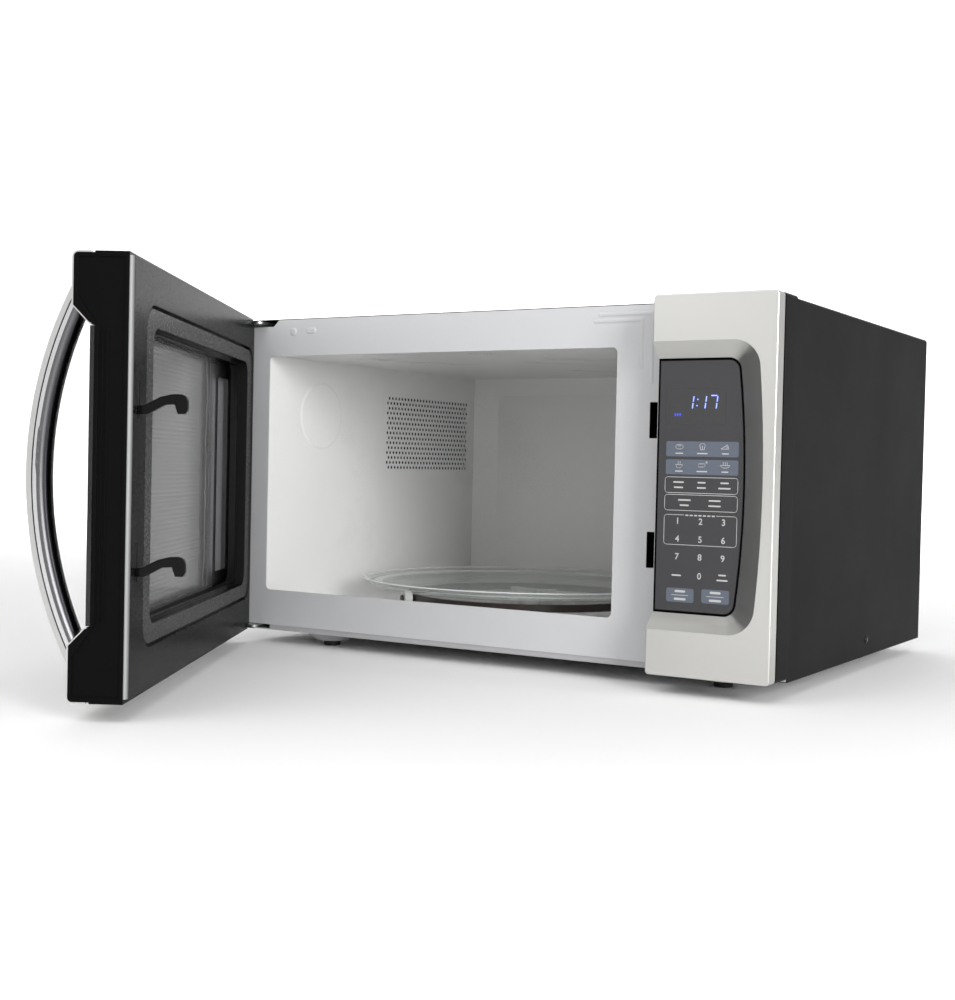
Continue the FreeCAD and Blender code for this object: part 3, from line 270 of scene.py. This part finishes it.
def handle_chrome():
    """Polished bar: painted shade in the seam under its cap, and painted shade darkening the side turned to
    the door.
    """
    arc_radius, arc_depth, arc_rise = 267.6, 203.7, 144.0  # the bar's bow, centred far behind the door
    seam_depth = 0.7
    made = Shader("handle_chrome")
    turned = made.place(DOOR_TURN)
    fine = made.noise(turned, 500.0)
    _, through, height = made.split(turned)
    behind = made.math("SUBTRACT", through, depth_at(arc_depth))
    over = made.math("SUBTRACT", height, CASE_LOW + arc_rise * MM)
    squares = made.math("ADD", made.math("POWER", behind, 2.0), made.math("POWER", over, 2.0))
    # Painted shade in the groove under the cap.
    seam = made.math("GREATER_THAN", made.math("SQRT", squares), (arc_radius - seam_depth) * MM)
    # Painted shade: the side turned to the door darkens as its normal turns that way.
    facing = made.add("ShaderNodeVectorMath", operation="DOT_PRODUCT")
    facing.inputs[1].default_value = DOOR_BACK
    made.link(made.add("ShaderNodeTexCoord").outputs["Normal"], facing.inputs[0])
    turned_in = made.math("GREATER_THAN", facing.outputs["Value"], 0.12)
    painted_side_shade = made.math("MULTIPLY", turned_in, made.span(facing.outputs["Value"], 0.80, 1.0, 0.12, 0.7))
    bright = made.blend(fine, (0.66, 0.66, 0.67), (0.70, 0.70, 0.71))
    made.colour(made.blend(made.math("MAXIMUM", painted_side_shade, seam), bright, (0.03, 0.03, 0.034)))
    made.roughness(made.span(fine, 0.20, 0.28))
    made.set(metal=1.0)
    return made.material


def punched():
    """Dark screen with fine rows of round holes, a wavy seal line and a plain pane at the hinge end, coloured
    pale as a painted reflection.
    """
    pitch, coat = 2.1 * MM, 0.55
    pane_end, seal_at, seal_half = along_at(96.0), along_at(107.0), 1.5 * MM
    base, hole = (0.115, 0.115, 0.12), (0.05, 0.05, 0.05)
    # pale is a painted reflection on the plain pane.
    pale, seal_grey = (0.34, 0.34, 0.36), (0.30, 0.30, 0.31)
    made = Shader("screen")
    across, _, height = made.split(made.place(DOOR_TURN, (2 * math.pi / pitch,) * 3))
    waves = made.math("MULTIPLY", made.math("SINE", across), made.math("SINE", height))
    inside = made.span(waves, 0.0, 1.0, 0.12, 0.32)
    fine = made.noise(made.place(DOOR_TURN), 900.0)
    rows = made.span(made.math("SINE", made.math("MULTIPLY", height, 0.62)), 0.0, 1.0, -1.0, 1.0)
    sheet = made.blend(rows, shade(base, 0.80), shade(base, 1.25))
    along, _, _ = made.split(made.place(DOOR_TURN))
    pane = made.math("LESS_THAN", along, pane_end)
    waver = made.span(made.noise(made.place(DOOR_TURN, (0.2, 0.2, 1)), 60.0), -0.004, 0.004, 0.3, 0.7)
    off_seal = made.math("ABSOLUTE", made.math("SUBTRACT", along, made.math("ADD", waver, seal_at)))
    on_seal = made.math("LESS_THAN", off_seal, seal_half)
    face = made.blend(on_seal, made.blend(inside, sheet, hole), seal_grey)
    # Painted reflection: the plain pane takes the pale colour.
    made.colour(made.blend(pane, face, pale))
    made.roughness(made.span(fine, 0.20, 0.26))
    made.link(made.span(rows, coat * 0.82, coat * 1.18), made.surface.inputs["Coat Weight"])
    made.set(metal=0.0, coat_rough=0.10)
    return made.material


def glowing(name, colour, strength):
    """A lit segment, a little uneven in its light."""
    made = Shader(name)
    core = made.noise(made.place(), 900.0)
    made.colour(shade(colour, 0.3))
    made.link(made.blend(core, colour, shade(colour, 1.1)), made.surface.inputs["Emission Color"])
    made.set(glow=strength, rough=0.5)
    return made.material


def clear(name, tint, alpha):
    """A clear or smoked sheet with faint smears."""
    rough = 0.04
    made = Shader(name)
    smear = made.noise(made.place(), 30.0, detail=4.0)
    made.roughness(made.span(smear, rough * 0.6, rough * 2.2, 0.3, 0.7))
    made.colour(made.blend(smear, shade(tint, 0.92), tint))
    made.set(ior=1.5, alpha=alpha)
    return made.material


def tray_glass():
    """Clear glass drawn as a thin sheet: see-through face on, milky edge on, with painted highlights along
    its rim lines.
    """
    tint = (0.56, 0.61, 0.58)
    rim_height, step_below, step_half = 0.9 * MM, 4.2 * MM, 0.5 * MM
    made = Shader("tray_glass")
    place = made.place()
    smear = made.noise(place, 25.0, detail=4.0)
    made.roughness(made.span(smear, 0.02, 0.08, 0.3, 0.7))
    _, _, height = made.split(place)
    # Painted highlights: the rim top and a line below it take near-white colour and more alpha.
    rim = made.math("GREATER_THAN", height, TRAY_RIM - rim_height)
    off_step = made.math("ABSOLUTE", made.math("SUBTRACT", height, TRAY_RIM - step_below))
    line = made.math("MAXIMUM", rim, made.math("LESS_THAN", off_step, step_half))
    facing = made.add("ShaderNodeLayerWeight")
    facing.inputs["Blend"].default_value = 0.35
    clearness = made.span(facing.outputs["Facing"], 0.04, 0.50)
    cover = made.math("MAXIMUM", clearness, made.math("MULTIPLY", line, 0.75))
    made.link(cover, made.surface.inputs["Alpha"])
    milky = made.blend(smear, shade(tint, 0.95), tint)
    made.colour(made.blend(line, milky, (0.86, 0.90, 0.88)))
    made.set(ior=1.5, specular=0.7)
    return made.material


looks = {
    "case": finish("case_paint", (0.0105, 0.0105, 0.011), 0.58, grain=1500, rough_spread=0.04,
                   depth=0.00008, strength=0.5, specular=0.05),
    "zinc": finish("zinc_sheet", (0.46, 0.47, 0.48), 0.38, grain=160, spread=0.12, metal=0.9),
    "front": finish("front_enamel", (0.56, 0.565, 0.575), 0.40, grain=1400, spread=0.05, depth=0.00002),
    "base": finish("base_enamel", (0.40, 0.40, 0.41), 0.45, grain=1400, spread=0.06, depth=0.00002),
    "cavity": finish("cavity_enamel", (0.85, 0.85, 0.84), 0.33, grain=1100, spread=0.06, coat=0.2),
    "steel_panel": brushed("brushed_panel"),
    "steel_door": brushed("brushed_door", DOOR_TURN),
    "black": finish("black_moulding", (0.0032, 0.0032, 0.0035), 0.36, grain=1300, spread=0.2,
                    specular=0.04, edge=0.0007),
    "black_gloss": finish("black_gloss", (0.003, 0.003, 0.0035), 0.14, grain=300, spread=0.2,
                          rough_spread=0.04, depth=0.00001, specular=0.14, edge=0.0008),
    "keypad": finish("keypad_film", (0.045, 0.045, 0.048), 0.42, grain=1800, spread=0.08,
                     depth=0.00001, specular=0.3),
    "lens": finish("display_lens", (0.045, 0.045, 0.047), 0.36, grain=400, rough_spread=0.03,
                   depth=0.000005, specular=0.3),
    "dark_metal": finish("choke_enamel", (0.05, 0.05, 0.052), 0.4, grain=700),
    "hinge": finish("hinge_zinc", (0.50, 0.53, 0.51), 0.32, grain=350, spread=0.12, metal=1.0),
    "steel": finish("plain_steel", (0.55, 0.55, 0.56), 0.3, grain=500, metal=1.0),
    "dark_steel": finish("blackened_steel", (0.006, 0.006, 0.006), 0.22, grain=500, specular=0.25,
                         edge=0.0006),
    "handle": finish("handle_brushed", (0.57, 0.57, 0.565), 0.36, grain=2600, stretch=(1, 1, 0.02),
                     turn=DOOR_TURN, metal=1.0, spread=0.04),
    "rubber": finish("foot_rubber", (0.010, 0.010, 0.010), 0.62, spread=0.2, specular=0.3),
    "mica": finish("mica", (0.52, 0.50, 0.44), 0.45, grain=220, spread=0.12),
    "brown": finish("ring_plastic", (0.030, 0.020, 0.017), 0.38, grain=700, spread=0.2),
    "white": finish("white_plastic", (0.74, 0.74, 0.72), 0.42, grain=800, spread=0.04),
    "board": finish("circuit_board", (0.02, 0.12, 0.05), 0.4, grain=350, spread=0.3),
    "red": finish("red_plastic", (0.5, 0.04, 0.03), 0.4, grain=800),
    "iron": finish("laminations", (0.10, 0.10, 0.11), 0.5, grain=1500, stretch=(1, 0.05, 1), spread=0.3,
                   metal=0.7),
    "copper": finish("winding", (0.42, 0.17, 0.08), 0.35, grain=1500, stretch=(0.05, 0.05, 1), spread=0.3,
                     metal=0.6),
    "can": finish("aluminium_can", (0.66, 0.66, 0.67), 0.32, grain=500, metal=1.0),
    "strip": finish("key_strip", (0.105, 0.122, 0.155), 0.42, grain=1500, spread=0.06, specular=0.3),
    "print": finish("key_print", (0.46, 0.46, 0.46), 0.5, grain=1500, spread=0.06, specular=0.3),
    "cover": moulded_cover(),
    "panel_black": panel_moulding(),
    "chrome": handle_chrome(),
    "mesh": punched(),
    "digit": glowing("display_glow", (0.42, 0.54, 1.0), 1.0),
    "halo": glowing("display_halo", (0.06, 0.08, 0.60), 0.5),
    "indicator": glowing("indicator_glow", (0.10, 0.14, 0.95), 0.8),
    "tray": tray_glass(),
    "film": clear("window_film", (0.5, 0.5, 0.5), 0.06),
    "dark_glass": clear("dark_glass", (0.006, 0.006, 0.007), 0.93),
}

WEAR = {
    "case": ["outer_cover"],
    "zinc": ["back_panel", "turntable_motor", "waveguide", "lamp"],
    "base": ["base_plate"],
    "front": ["front_plate"],
    "cavity": ["cavity_shell"],
    "steel_panel": ["panel_skin"],
    "steel_door": ["door_skin"],
    "panel_black": ["panel_frame"],
    "black": ["door_frame", "cord_gland", "hinge_bushes", "latch_housing", "switch_upper",
              "switch_lower", "switch_monitor", "diode"],
    "black_gloss": ["latch_hooks"],
    "keypad": ["keypad_overlay"],
    "lens": ["display_lens"],
    "cover": ["choke_cover"],
    "mesh": ["door_screen"],
    "dark_metal": ["door_choke"],
    "hinge": ["hinge_upper", "hinge_lower"],
    "dark_steel": ["cover_screws"],
    "steel": ["handle_screws", "motor_shaft", "latch_spring", "thermal_cutouts"],
    "chrome": ["handle_bar"],
    "handle": ["handle_cap"],
    "rubber": ["foot_front_left", "foot_front_right", "foot_rear_left", "foot_rear_right"],
    "mica": ["waveguide_cover"],
    "brown": ["roller_ring"],
    "white": ["ring_roller_1", "ring_roller_2", "ring_roller_3", "turntable_coupler", "fan_shroud",
              "fan_rotor"],
    "board": ["control_board", "filter_board"],
    "red": ["plunger_upper", "plunger_lower", "plunger_monitor"],
    "iron": ["transformer_core", "fan_motor"],
    "copper": ["transformer_coil"],
    "can": ["magnetron", "capacitor"],
    "tray": ["glass_tray"],
    "film": ["window_film"],
    "dark_glass": ["door_window"],
}
for look, members in WEAR.items():
    for member in members:
        for material_slot in NODES[member].material_slots:
            material_slot.material = looks[look]


# ------------------------------------------------------------------ outlines, in millimetres across and up


def rounded_box(left, right, low, high, radius, steps=5):
    """A rectangle with round corners, anticlockwise from its right side."""
    points = []
    corners = ((right - radius, high - radius, 0), (left + radius, high - radius, 90),
               (left + radius, low + radius, 180), (right - radius, low + radius, 270))
    for centre_x, centre_z, start in corners:
        for step in range(steps + 1):
            turn = math.radians(start + 90 * step / steps)
            points.append((centre_x + radius * math.cos(turn), centre_z + radius * math.sin(turn)))
    return points


def bar(x, z, width, height):
    """A short bar with rounded ends about a middle."""
    return rounded_box(x - width / 2, x + width / 2, z - height / 2, z + height / 2, height * 0.45, 2)


def ring(x, z, wide, high, count=18, start=0, end=360):
    """Points on an ellipse, or on the arc of it from start to end."""
    turns = [math.radians(start + (end - start) * step / count) for step in range(count + 1)]
    return [(x + wide * math.cos(turn), z + high * math.sin(turn)) for turn in turns]


def stroke(points, width, closed=False):
    """The outlines of a line of that width through the points, each run a little overlong."""
    pairs = list(zip(points, points[1:] + points[:1] if closed else points[1:]))
    pieces = []
    for (x0, z0), (x1, z1) in pairs:
        length = math.hypot(x1 - x0, z1 - z0)
        side_x, side_z = -(z1 - z0) / length * width / 2, (x1 - x0) / length * width / 2
        over_x, over_z = (x1 - x0) / length * width * 0.3, (z1 - z0) / length * width * 0.3
        first_x, first_z = x0 - over_x, z0 - over_z
        last_x, last_z = x1 + over_x, z1 + over_z
        pieces.append([(first_x - side_x, first_z - side_z), (last_x - side_x, last_z - side_z),
                       (last_x + side_x, last_z + side_z), (first_x + side_x, first_z + side_z)])
    return pieces


# ------------------------------------------------------------------ pieces that Blender adds


def add_piece(name, bm, look, body):
    """An object made from the finished mesh, riding on its body."""
    mesh = bpy.data.meshes.new(name)
    bm.to_mesh(mesh)
    bm.free()
    mesh.materials.append(looks[look])
    made = bpy.data.objects.new(name, mesh)
    scene.collection.objects.link(made)
    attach(made, body)


KEYPAD_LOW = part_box("keypad_overlay")[0]
FILM = 0.04 * MM  # thickness of the print


def on_keypad(across, rise, proud):
    """A point on the keypad's face: millimetres from its lower left corner, proud metres in front of it."""
    return Vector((KEYPAD_LOW.x + across * MM, KEYPAD_LOW.y - proud, KEYPAD_LOW.z + rise * MM))


def printed(name, outlines, look, proud=FILM):
    """Thin flat shapes on the keypad. Each outline is a list of points, anticlockwise from the front."""
    bm = bmesh.new()
    for outline in outlines:
        front = [bm.verts.new(on_keypad(*point, proud)) for point in outline]
        back = [bm.verts.new(on_keypad(*point, proud - FILM)) for point in outline]
        bm.faces.new(front)
        bm.faces.new(back[::-1])
        for here in range(len(front)):
            there = (here + 1) % len(front)
            bm.faces.new((front[there], front[here], back[here], back[there]))
    bmesh.ops.recalc_face_normals(bm, faces=bm.faces)
    bmesh.ops.triangulate(bm, faces=[face for face in bm.faces if len(face.verts) > 4])
    add_piece(name, bm, look, "oven")


# ------------------------------------------------------------------ keypad print

COLUMNS = (16.6, 34.9, 53.0)
STRIPS = ((115.1, 126.4), (101.8, 112.9))  # low and high edges of the two strips of quick keys
STRIP_LEFT, STRIP_RIGHT, STRIP_CORNER = 6.0, 63.3, 1.3
PICTURE_RISES = (7.3, 7.2)  # the middle of the pictures above each strip's low edge
KEYS = ((8.9, 30.9, 6.6, 17.0), (37.1, 58.7, 7.1, 17.4))  # left, right, low and high of the bottom keys
KEY_CORNER = 1.6
DIGIT_ROWS = (66.9, 53.6, 40.4, 26.5)
DIGIT_SIZE, DIGIT_SWELL = 6.6 * MM, 0.08 * MM
FRAME_LEFT, FRAME_RIGHT = 5.7, 63.3
FRAMES = ((88.1, 99.8, None), (75.0, 86.7, None), (49.4, 71.7, (21.5, 47.3)))  # low, high, gap in the top
FRAME_CORNER = 2.2
LINE = 0.42  # width of the frames and of the pictures' lines
THIN = LINE * 0.8
WORD = 1.15  # height of a bar that stands for a word
STRIP_WORD_RISE, STRIP_WORD = 2.4, 0.85  # above a strip's low edge, and height
UPPER_FRAME_ROWS = (96.0, 92.1)  # two bars stand for each key's words
LOWER_FRAME_COLUMNS, LOWER_FRAME_ROWS = (21.6, 45.6), (82.8, 78.9)
DASH_MIDDLE, DASH_PITCH, DASH_RISE = 34.4, 3.5, 71.5  # the broken line in the gap of the digits' frame
LAST_KEY_ROWS = (28.4, 24.6)
BOTTOM_WORD_RISE, BOTTOM_WORD = 2.9, 1.7  # either side of a bottom key's middle line, and height


def frame_line(low, high, gap):
    """A thin rounded frame, open along its top between the two sides of gap."""
    points = rounded_box(FRAME_LEFT, FRAME_RIGHT, low, high, FRAME_CORNER)
    if gap is None:
        return stroke(points, LINE, closed=True)
    middle = (FRAME_LEFT + FRAME_RIGHT) / 2
    first = next(number for number, point in enumerate(points) if point[0] < middle)
    left_top = [(FRAME_LEFT + FRAME_CORNER, high), (gap[0], high)]
    right_top = [(gap[1], high), (FRAME_RIGHT - FRAME_CORNER, high)]
    return stroke(points[first:] + points[:first], LINE) + stroke(left_top, LINE) + stroke(right_top, LINE)


def potato(x, z):
    """A baked potato about its middle."""
    slit = [(x - 1.2, z + 0.6), (x + 1.2, z + 0.6)]
    return stroke(ring(x, z, 3.1, 1.7)[:-1], LINE, closed=True) + stroke(slit, LINE)


def drink(x, z):
    """A cup with a domed lid."""
    cup = [(x - 2.1, z + 1.2), (x - 1.4, z - 2.1), (x + 1.4, z - 2.1), (x + 2.1, z + 1.2)]
    lid = ring(x, z + 1.2, 2.2, 1.2, 10, 0, 180)
    return stroke(cup, LINE) + stroke(lid, LINE) + stroke([(x, z - 1.5), (x, z + 0.8)], LINE)


def pizza(x, z):
    """A slice with one topping."""
    slice_edge = [(x - 3.4, z - 1.4), (x + 2.6, z - 1.4), (x + 1.4, z + 1.8)]
    topping = ring(x + 0.9, z - 0.2, 0.6, 0.6, 8)[:-1]
    return stroke(slice_edge, LINE, closed=True) + stroke(topping, THIN, closed=True)


def steam(x, low):
    """A crooked upright line over hot food."""
    rise, swing = 0.8, 0.4
    return stroke([(x, low), (x + swing, low + rise), (x, low + 2 * rise)], LINE)


def soup(x, z):
    """A deep bowl under steam, with its rim at z."""
    bowl = stroke(ring(x, z, 2.6, 2.4, 12, 180, 360), LINE) + stroke([(x - 2.9, z), (x + 2.9, z)], LINE)
    return bowl + steam(x - 0.9, z + 0.8) + steam(x + 0.7, z + 0.8)


def frozen(x, z):
    """A flat pack with a star of frost at its corner."""
    pack = stroke(rounded_box(x - 3, x + 2.4, z - 1.4, z + 0.9, 0.8, 3), LINE, closed=True)
    middle_x, middle_z, arm = x + 3.6, z + 2, 0.9
    for turn in (0.0, math.pi / 3, 2 * math.pi / 3):
        reach_x, reach_z = arm * math.cos(turn), arm * math.sin(turn)
        ends = [(middle_x + reach_x, middle_z + reach_z), (middle_x - reach_x, middle_z - reach_z)]
        pack += stroke(ends, THIN)
    return pack


def plate(x, z):
    """A shallow dish under steam, with its rim at z."""
    drawn = stroke(ring(x, z, 3.5, 1.9, 12, 180, 360), LINE) + stroke([(x - 3.9, z), (x + 3.9, z)], LINE)
    for shift in (-1.5, 0, 1.5):
        drawn += steam(x + shift, z + 0.7)
    return drawn


def pictograms():
    """Small line drawings of food, one for each quick key."""
    drawn = []
    rows = ((potato, drink, pizza), (soup, frozen, plate))
    for (low, _), rise, pictures in zip(STRIPS, PICTURE_RISES, rows):
        for x, picture in zip(COLUMNS, pictures):
            drawn += picture(x, low + rise)
    return drawn


def words():
    """Bars that stand where the real keys carry words."""
    bars = []
    for low, _ in STRIPS:
        for x, width in zip(COLUMNS, (6.2, 8.4, 5.4)):
            bars.append(bar(x, low + STRIP_WORD_RISE, width, STRIP_WORD))
    for x, widths in zip(COLUMNS, ((8.6, 7.4), (6.4, 7.2), (6.6, 9.6))):
        bars += [bar(x, rise, width, WORD) for rise, width in zip(UPPER_FRAME_ROWS, widths)]
    for x, widths in zip(LOWER_FRAME_COLUMNS, ((10.2, 7.4), (9.4, 9.8))):
        bars += [bar(x, rise, width, WORD) for rise, width in zip(LOWER_FRAME_ROWS, widths)]
    bars += [bar(DASH_MIDDLE + DASH_PITCH * step, DASH_RISE, 2.6, 1.0) for step in range(-3, 4)]
    bars.append(bar(COLUMNS[0], DIGIT_ROWS[3], 7.6, WORD))
    bars += [bar(COLUMNS[2], rise, width, WORD) for rise, width in zip(LAST_KEY_ROWS, (6.0, 8.6))]
    for left, right, low, high in KEYS:
        middle, rise = (left + right) / 2, (low + high) / 2
        bars.append(bar(middle, rise + BOTTOM_WORD_RISE, 8.6, BOTTOM_WORD))
        bars.append(bar(middle, rise - BOTTOM_WORD_RISE, 9.6, BOTTOM_WORD))
        bars.append(bar(middle, rise, 13.6, 0.4))
    return bars


def key_digits():
    """The digits 0 to 9 on the keypad, from the built-in plain face."""
    bm = bmesh.new()
    for row, texts in zip(DIGIT_ROWS, ("123", "456", "789", " 0 ")):
        for column, text in zip(COLUMNS, texts):
            if text == " ":
                continue
            curve = bpy.data.curves.new("digit", "FONT")
            curve.body = text
            curve.size = DIGIT_SIZE
            curve.align_x, curve.align_y = "CENTER", "CENTER"
            curve.extrude = FILM / 2
            curve.offset = DIGIT_SWELL
            shape = bpy.data.objects.new("digit", curve)
            scene.collection.objects.link(shape)
            mesh = bpy.data.meshes.new_from_object(shape)
            mesh.transform(Matrix.Translation(on_keypad(column, row, FILM / 2))
                           @ Matrix.Rotation(math.radians(90), 4, "X"))
            bm.from_mesh(mesh)
            bpy.data.objects.remove(shape)
            bpy.data.meshes.remove(mesh)
            bpy.data.curves.remove(curve)
    add_piece("key_digits", bm, "print", "oven")


# ------------------------------------------------------------------ clock display

LED_LOW, LED_HIGH, LED_WIDE = 150.3, 160.3, 5.4
LED_LEAN = 0.13  # sideways for each millimetre of height
LED_GAP, TOP_GAP = 0.75, 0.4  # a segment ends this far short of the corner, the top one's left end less
COLON_LEFT, COLON_RISES = 29.4, (2.6, 7.2)
CLOCK = ((20.6, "bc"), (30.6, "bc"), (39.4, "abc"))  # each digit's left side and lit segments
CORE, GLOW = 0.8, 1.5  # widths of a segment and of the light round it
LAMP_LEFT, LAMP_PITCH, LAMP_RISE, LAMP_WIDE, LAMP_HIGH = 12.6, 1.9, 146.2, 1.4, 2.4  # the clock lamp's bars


def lean(x, z):
    """A point of an upright digit, moved to where it lies in a leaning one."""
    return (x + (z - LED_LOW) * LED_LEAN, z)


def lit_segments(width):
    """The clock digits of the display, seven-segment style and leaning to the right."""
    middle = (LED_LOW + LED_HIGH) / 2
    pieces = []
    for left, lit in CLOCK:
        right = left + LED_WIDE
        lines = {
            "a": ((left + TOP_GAP, LED_HIGH), (right - LED_GAP, LED_HIGH)),
            "b": ((right, LED_HIGH - LED_GAP), (right, middle + LED_GAP)),
            "c": ((right, middle - LED_GAP), (right, LED_LOW + LED_GAP)),
        }
        for segment in lit:
            pieces += stroke([lean(*point) for point in lines[segment]], width)
    half = width * 0.55
    for rise in COLON_RISES:
        x, z = lean(COLON_LEFT, LED_LOW + rise)
        pieces.append(rounded_box(x - half, x + half, z - half, z + half, width * 0.3, 3))
    return pieces


strips = [rounded_box(STRIP_LEFT, STRIP_RIGHT, low, high, STRIP_CORNER) for low, high in STRIPS]
bottom_keys = [rounded_box(*key, KEY_CORNER) for key in KEYS]
frames = [outline for low, high, gap in FRAMES for outline in frame_line(low, high, gap)]
lamp = [bar(LAMP_LEFT + LAMP_PITCH * step, LAMP_RISE, LAMP_WIDE, LAMP_HIGH) for step in range(3)]
printed("key_strips", strips + bottom_keys, "strip")
printed("key_frames", frames, "print", proud=FILM * 1.2)
printed("key_marks", words() + pictograms(), "print", proud=FILM * 2)
printed("display_halo", lit_segments(GLOW), "halo", proud=FILM * 1.2)
printed("display_digits", lit_segments(CORE), "digit", proud=FILM * 2.4)
printed("display_indicator", lamp, "indicator")
key_digits()


# ------------------------------------------------------------------ black border in the door's window


def door_sheet(name, outer, holes, depth, thick, look):
    """A flat sheet parallel to the door, outer and holes being outlines of across and rise."""
    bm = bmesh.new()
    for loop in [outer] + holes:
        verts = [bm.verts.new((x, z, 0)) for x, z in loop]
        for here, there in zip(verts, verts[1:] + verts[:1]):
            bm.edges.new((here, there))
    bmesh.ops.triangle_fill(bm, use_beauty=True, use_dissolve=False, edges=bm.edges[:])
    bmesh.ops.recalc_face_normals(bm, faces=bm.faces)
    grown = bmesh.ops.extrude_face_region(bm, geom=bm.faces[:])
    for vert in [item for item in grown["geom"] if isinstance(item, bmesh.types.BMVert)]:
        vert.co.z = thick
    for vert in bm.verts:
        vert.co = door_point(vert.co.x, depth + vert.co.z, vert.co.y)
    bmesh.ops.recalc_face_normals(bm, faces=bm.faces)
    add_piece(name, bm, look, "door")


def screen_border():
    """The black border at the hinge end of the window, with its rounded clear pane."""
    left, right, low, high, corner = 36.9, 101.0, 46.7, 239.8, 10.0
    pane_left, pane_right, pane_low, pane_high, pane_corner = 46, 92, 59, 226, 3.5
    depth, thick = -16.4, 0.2
    pane = rounded_box(pane_left, pane_right, pane_low, pane_high, pane_corner)
    rounded = rounded_box(left, right, low, high, corner)
    hinge_side = [point for point in rounded if point[0] < (left + right) / 2]
    outer = [(right, high)] + hinge_side + [(right, low)]
    door_sheet("screen_border", outer, [pane], depth, thick, "black_gloss")


screen_border()


# ------------------------------------------------------------------ camera, floor and light

CAMERA_AT = Vector((0.628144, -1.003478, 0.168634))
YAW, PITCH, ROLL = 0.552374, 0.025257, 0.022433
LENS, SENSOR = 51.555, 36.0


def add_camera():
    """A camera about level with the oven's middle, looking at its front from the right."""
    forward = Vector((-math.sin(YAW) * math.cos(PITCH), math.cos(YAW) * math.cos(PITCH), -math.sin(PITCH)))
    level = Vector((math.cos(YAW), math.sin(YAW), 0))
    above = level.cross(forward)
    right = math.cos(ROLL) * level + math.sin(ROLL) * above
    up = -math.sin(ROLL) * level + math.cos(ROLL) * above
    data = bpy.data.cameras.new("camera")
    data.lens = LENS
    data.sensor_width = SENSOR
    data.clip_start = 0.01
    data.clip_end = 50.0
    camera = bpy.data.objects.new("camera", data)
    scene.collection.objects.link(camera)
    camera.matrix_world = Matrix.Translation(CAMERA_AT) @ Matrix((right, up, -forward)).transposed().to_4x4()
    scene.camera = camera


def floor():
    """A wide pale sheet that lies under the oven, turns up far behind it and ends in two tall strips."""
    near, length, radius, half_width = -6, 11, 3, 9
    flat_steps, turn_steps, tall_strips, tall = 20, 20, 2, 4
    last = flat_steps + turn_steps
    bm = bmesh.new()
    rows = []
    for step in range(last + 1):
        turn = math.radians(90) * max(0.0, step - flat_steps) / turn_steps
        y = near + length * min(step, flat_steps) / flat_steps + radius * math.sin(turn)
        z = radius * (1 - math.cos(turn)) + tall * max(0, step - (last - tall_strips))
        ends = [Vector((x, y, z)) for x in (-half_width, half_width)]
        rows.append([bm.verts.new(Matrix.Rotation(YAW, 3, "Z") @ end) for end in ends])
    for low, high in zip(rows, rows[1:]):
        bm.faces.new((low[0], low[1], high[1], high[0]))
    mesh = bpy.data.meshes.new("floor")
    bm.to_mesh(mesh)
    bm.free()
    mesh.shade_smooth()
    paper = finish("paper_floor", (0.94, 0.94, 0.94), 0.8, grain=300, spread=0.01, rough_spread=0.03)
    mesh.materials.append(paper)
    made = bpy.data.objects.new("floor", mesh)
    scene.collection.objects.link(made)


def softbox(name, at, target, width, height, power):
    """A rectangular light that faces its target."""
    data = bpy.data.lights.new(name, "AREA")
    data.shape = "RECTANGLE"
    data.size = width
    data.size_y = height
    data.energy = power
    made = bpy.data.objects.new(name, data)
    made.location = at
    made.rotation_mode = "QUATERNION"
    made.rotation_quaternion = (Vector(target) - Vector(at)).to_track_quat("-Z", "Y")
    scene.collection.objects.link(made)


LIGHTS = (  # name, place, target, width, height, watts
    ("overhead", (0.1, -0.7, 2.6), (0, 0, 0.1), 3.0, 2.2, 5),
    ("front_left", (-1.6, -2.6, 1.1), (0, 0, 0.15), 1.8, 1.6, 5),
    ("front_right", (2.1, -1.3, 0.75), (-0.15, 0.1, 0.15), 0.9, 1.1, 40),
    ("right_strip", (2.9, 0.35, 0.45), (0.0, -0.4, 0.15), 0.30, 1.8, 22),
    ("front_wash", (0.2, -1.7, 1.9), (0.1, -1.3, 0.0), 2.4, 1.6, 19),
    ("floor_wash", (-1.5, 2.6, 2.4), (-1.9, 3.6, 0.0), 3.6, 1.8, 70),
    ("backdrop", (-0.6, 2.4, 2.7), (-3.2, 6.2, 0.9), 4.5, 1.6, 330),
)


def studio_world():
    """White light from all round, weaker behind the oven and towards the zenith."""
    world = bpy.data.worlds.new("studio")
    world.use_nodes = True
    nodes, link = world.node_tree.nodes, world.node_tree.links.new
    direction = nodes.new("ShaderNodeTexCoord")
    split = nodes.new("ShaderNodeSeparateXYZ")
    link(direction.outputs["Generated"], split.inputs["Vector"])
    strength = nodes.new("ShaderNodeMath")
    strength.operation = "MULTIPLY"
    falls = (("Y", -1.0, 0.90, 0.55), ("Z", 0.25, 1.0, 0.45))  # axis, start, strength there and at 1
    for into, (axis, start, strong, weak) in zip(strength.inputs, falls):
        change = nodes.new("ShaderNodeMapRange")
        change.inputs["From Min"].default_value = start
        change.inputs["To Min"].default_value = strong
        change.inputs["To Max"].default_value = weak
        link(split.outputs[axis], change.inputs["Value"])
        link(change.outputs["Result"], into)
    background = nodes["Background"]
    background.inputs["Color"].default_value = (1, 1, 1, 1)
    link(strength.outputs["Value"], background.inputs["Strength"])
    scene.world = world


add_camera()
floor()
for light in LIGHTS:
    softbox(*light)
studio_world()
scene.view_settings.view_transform = "Standard"
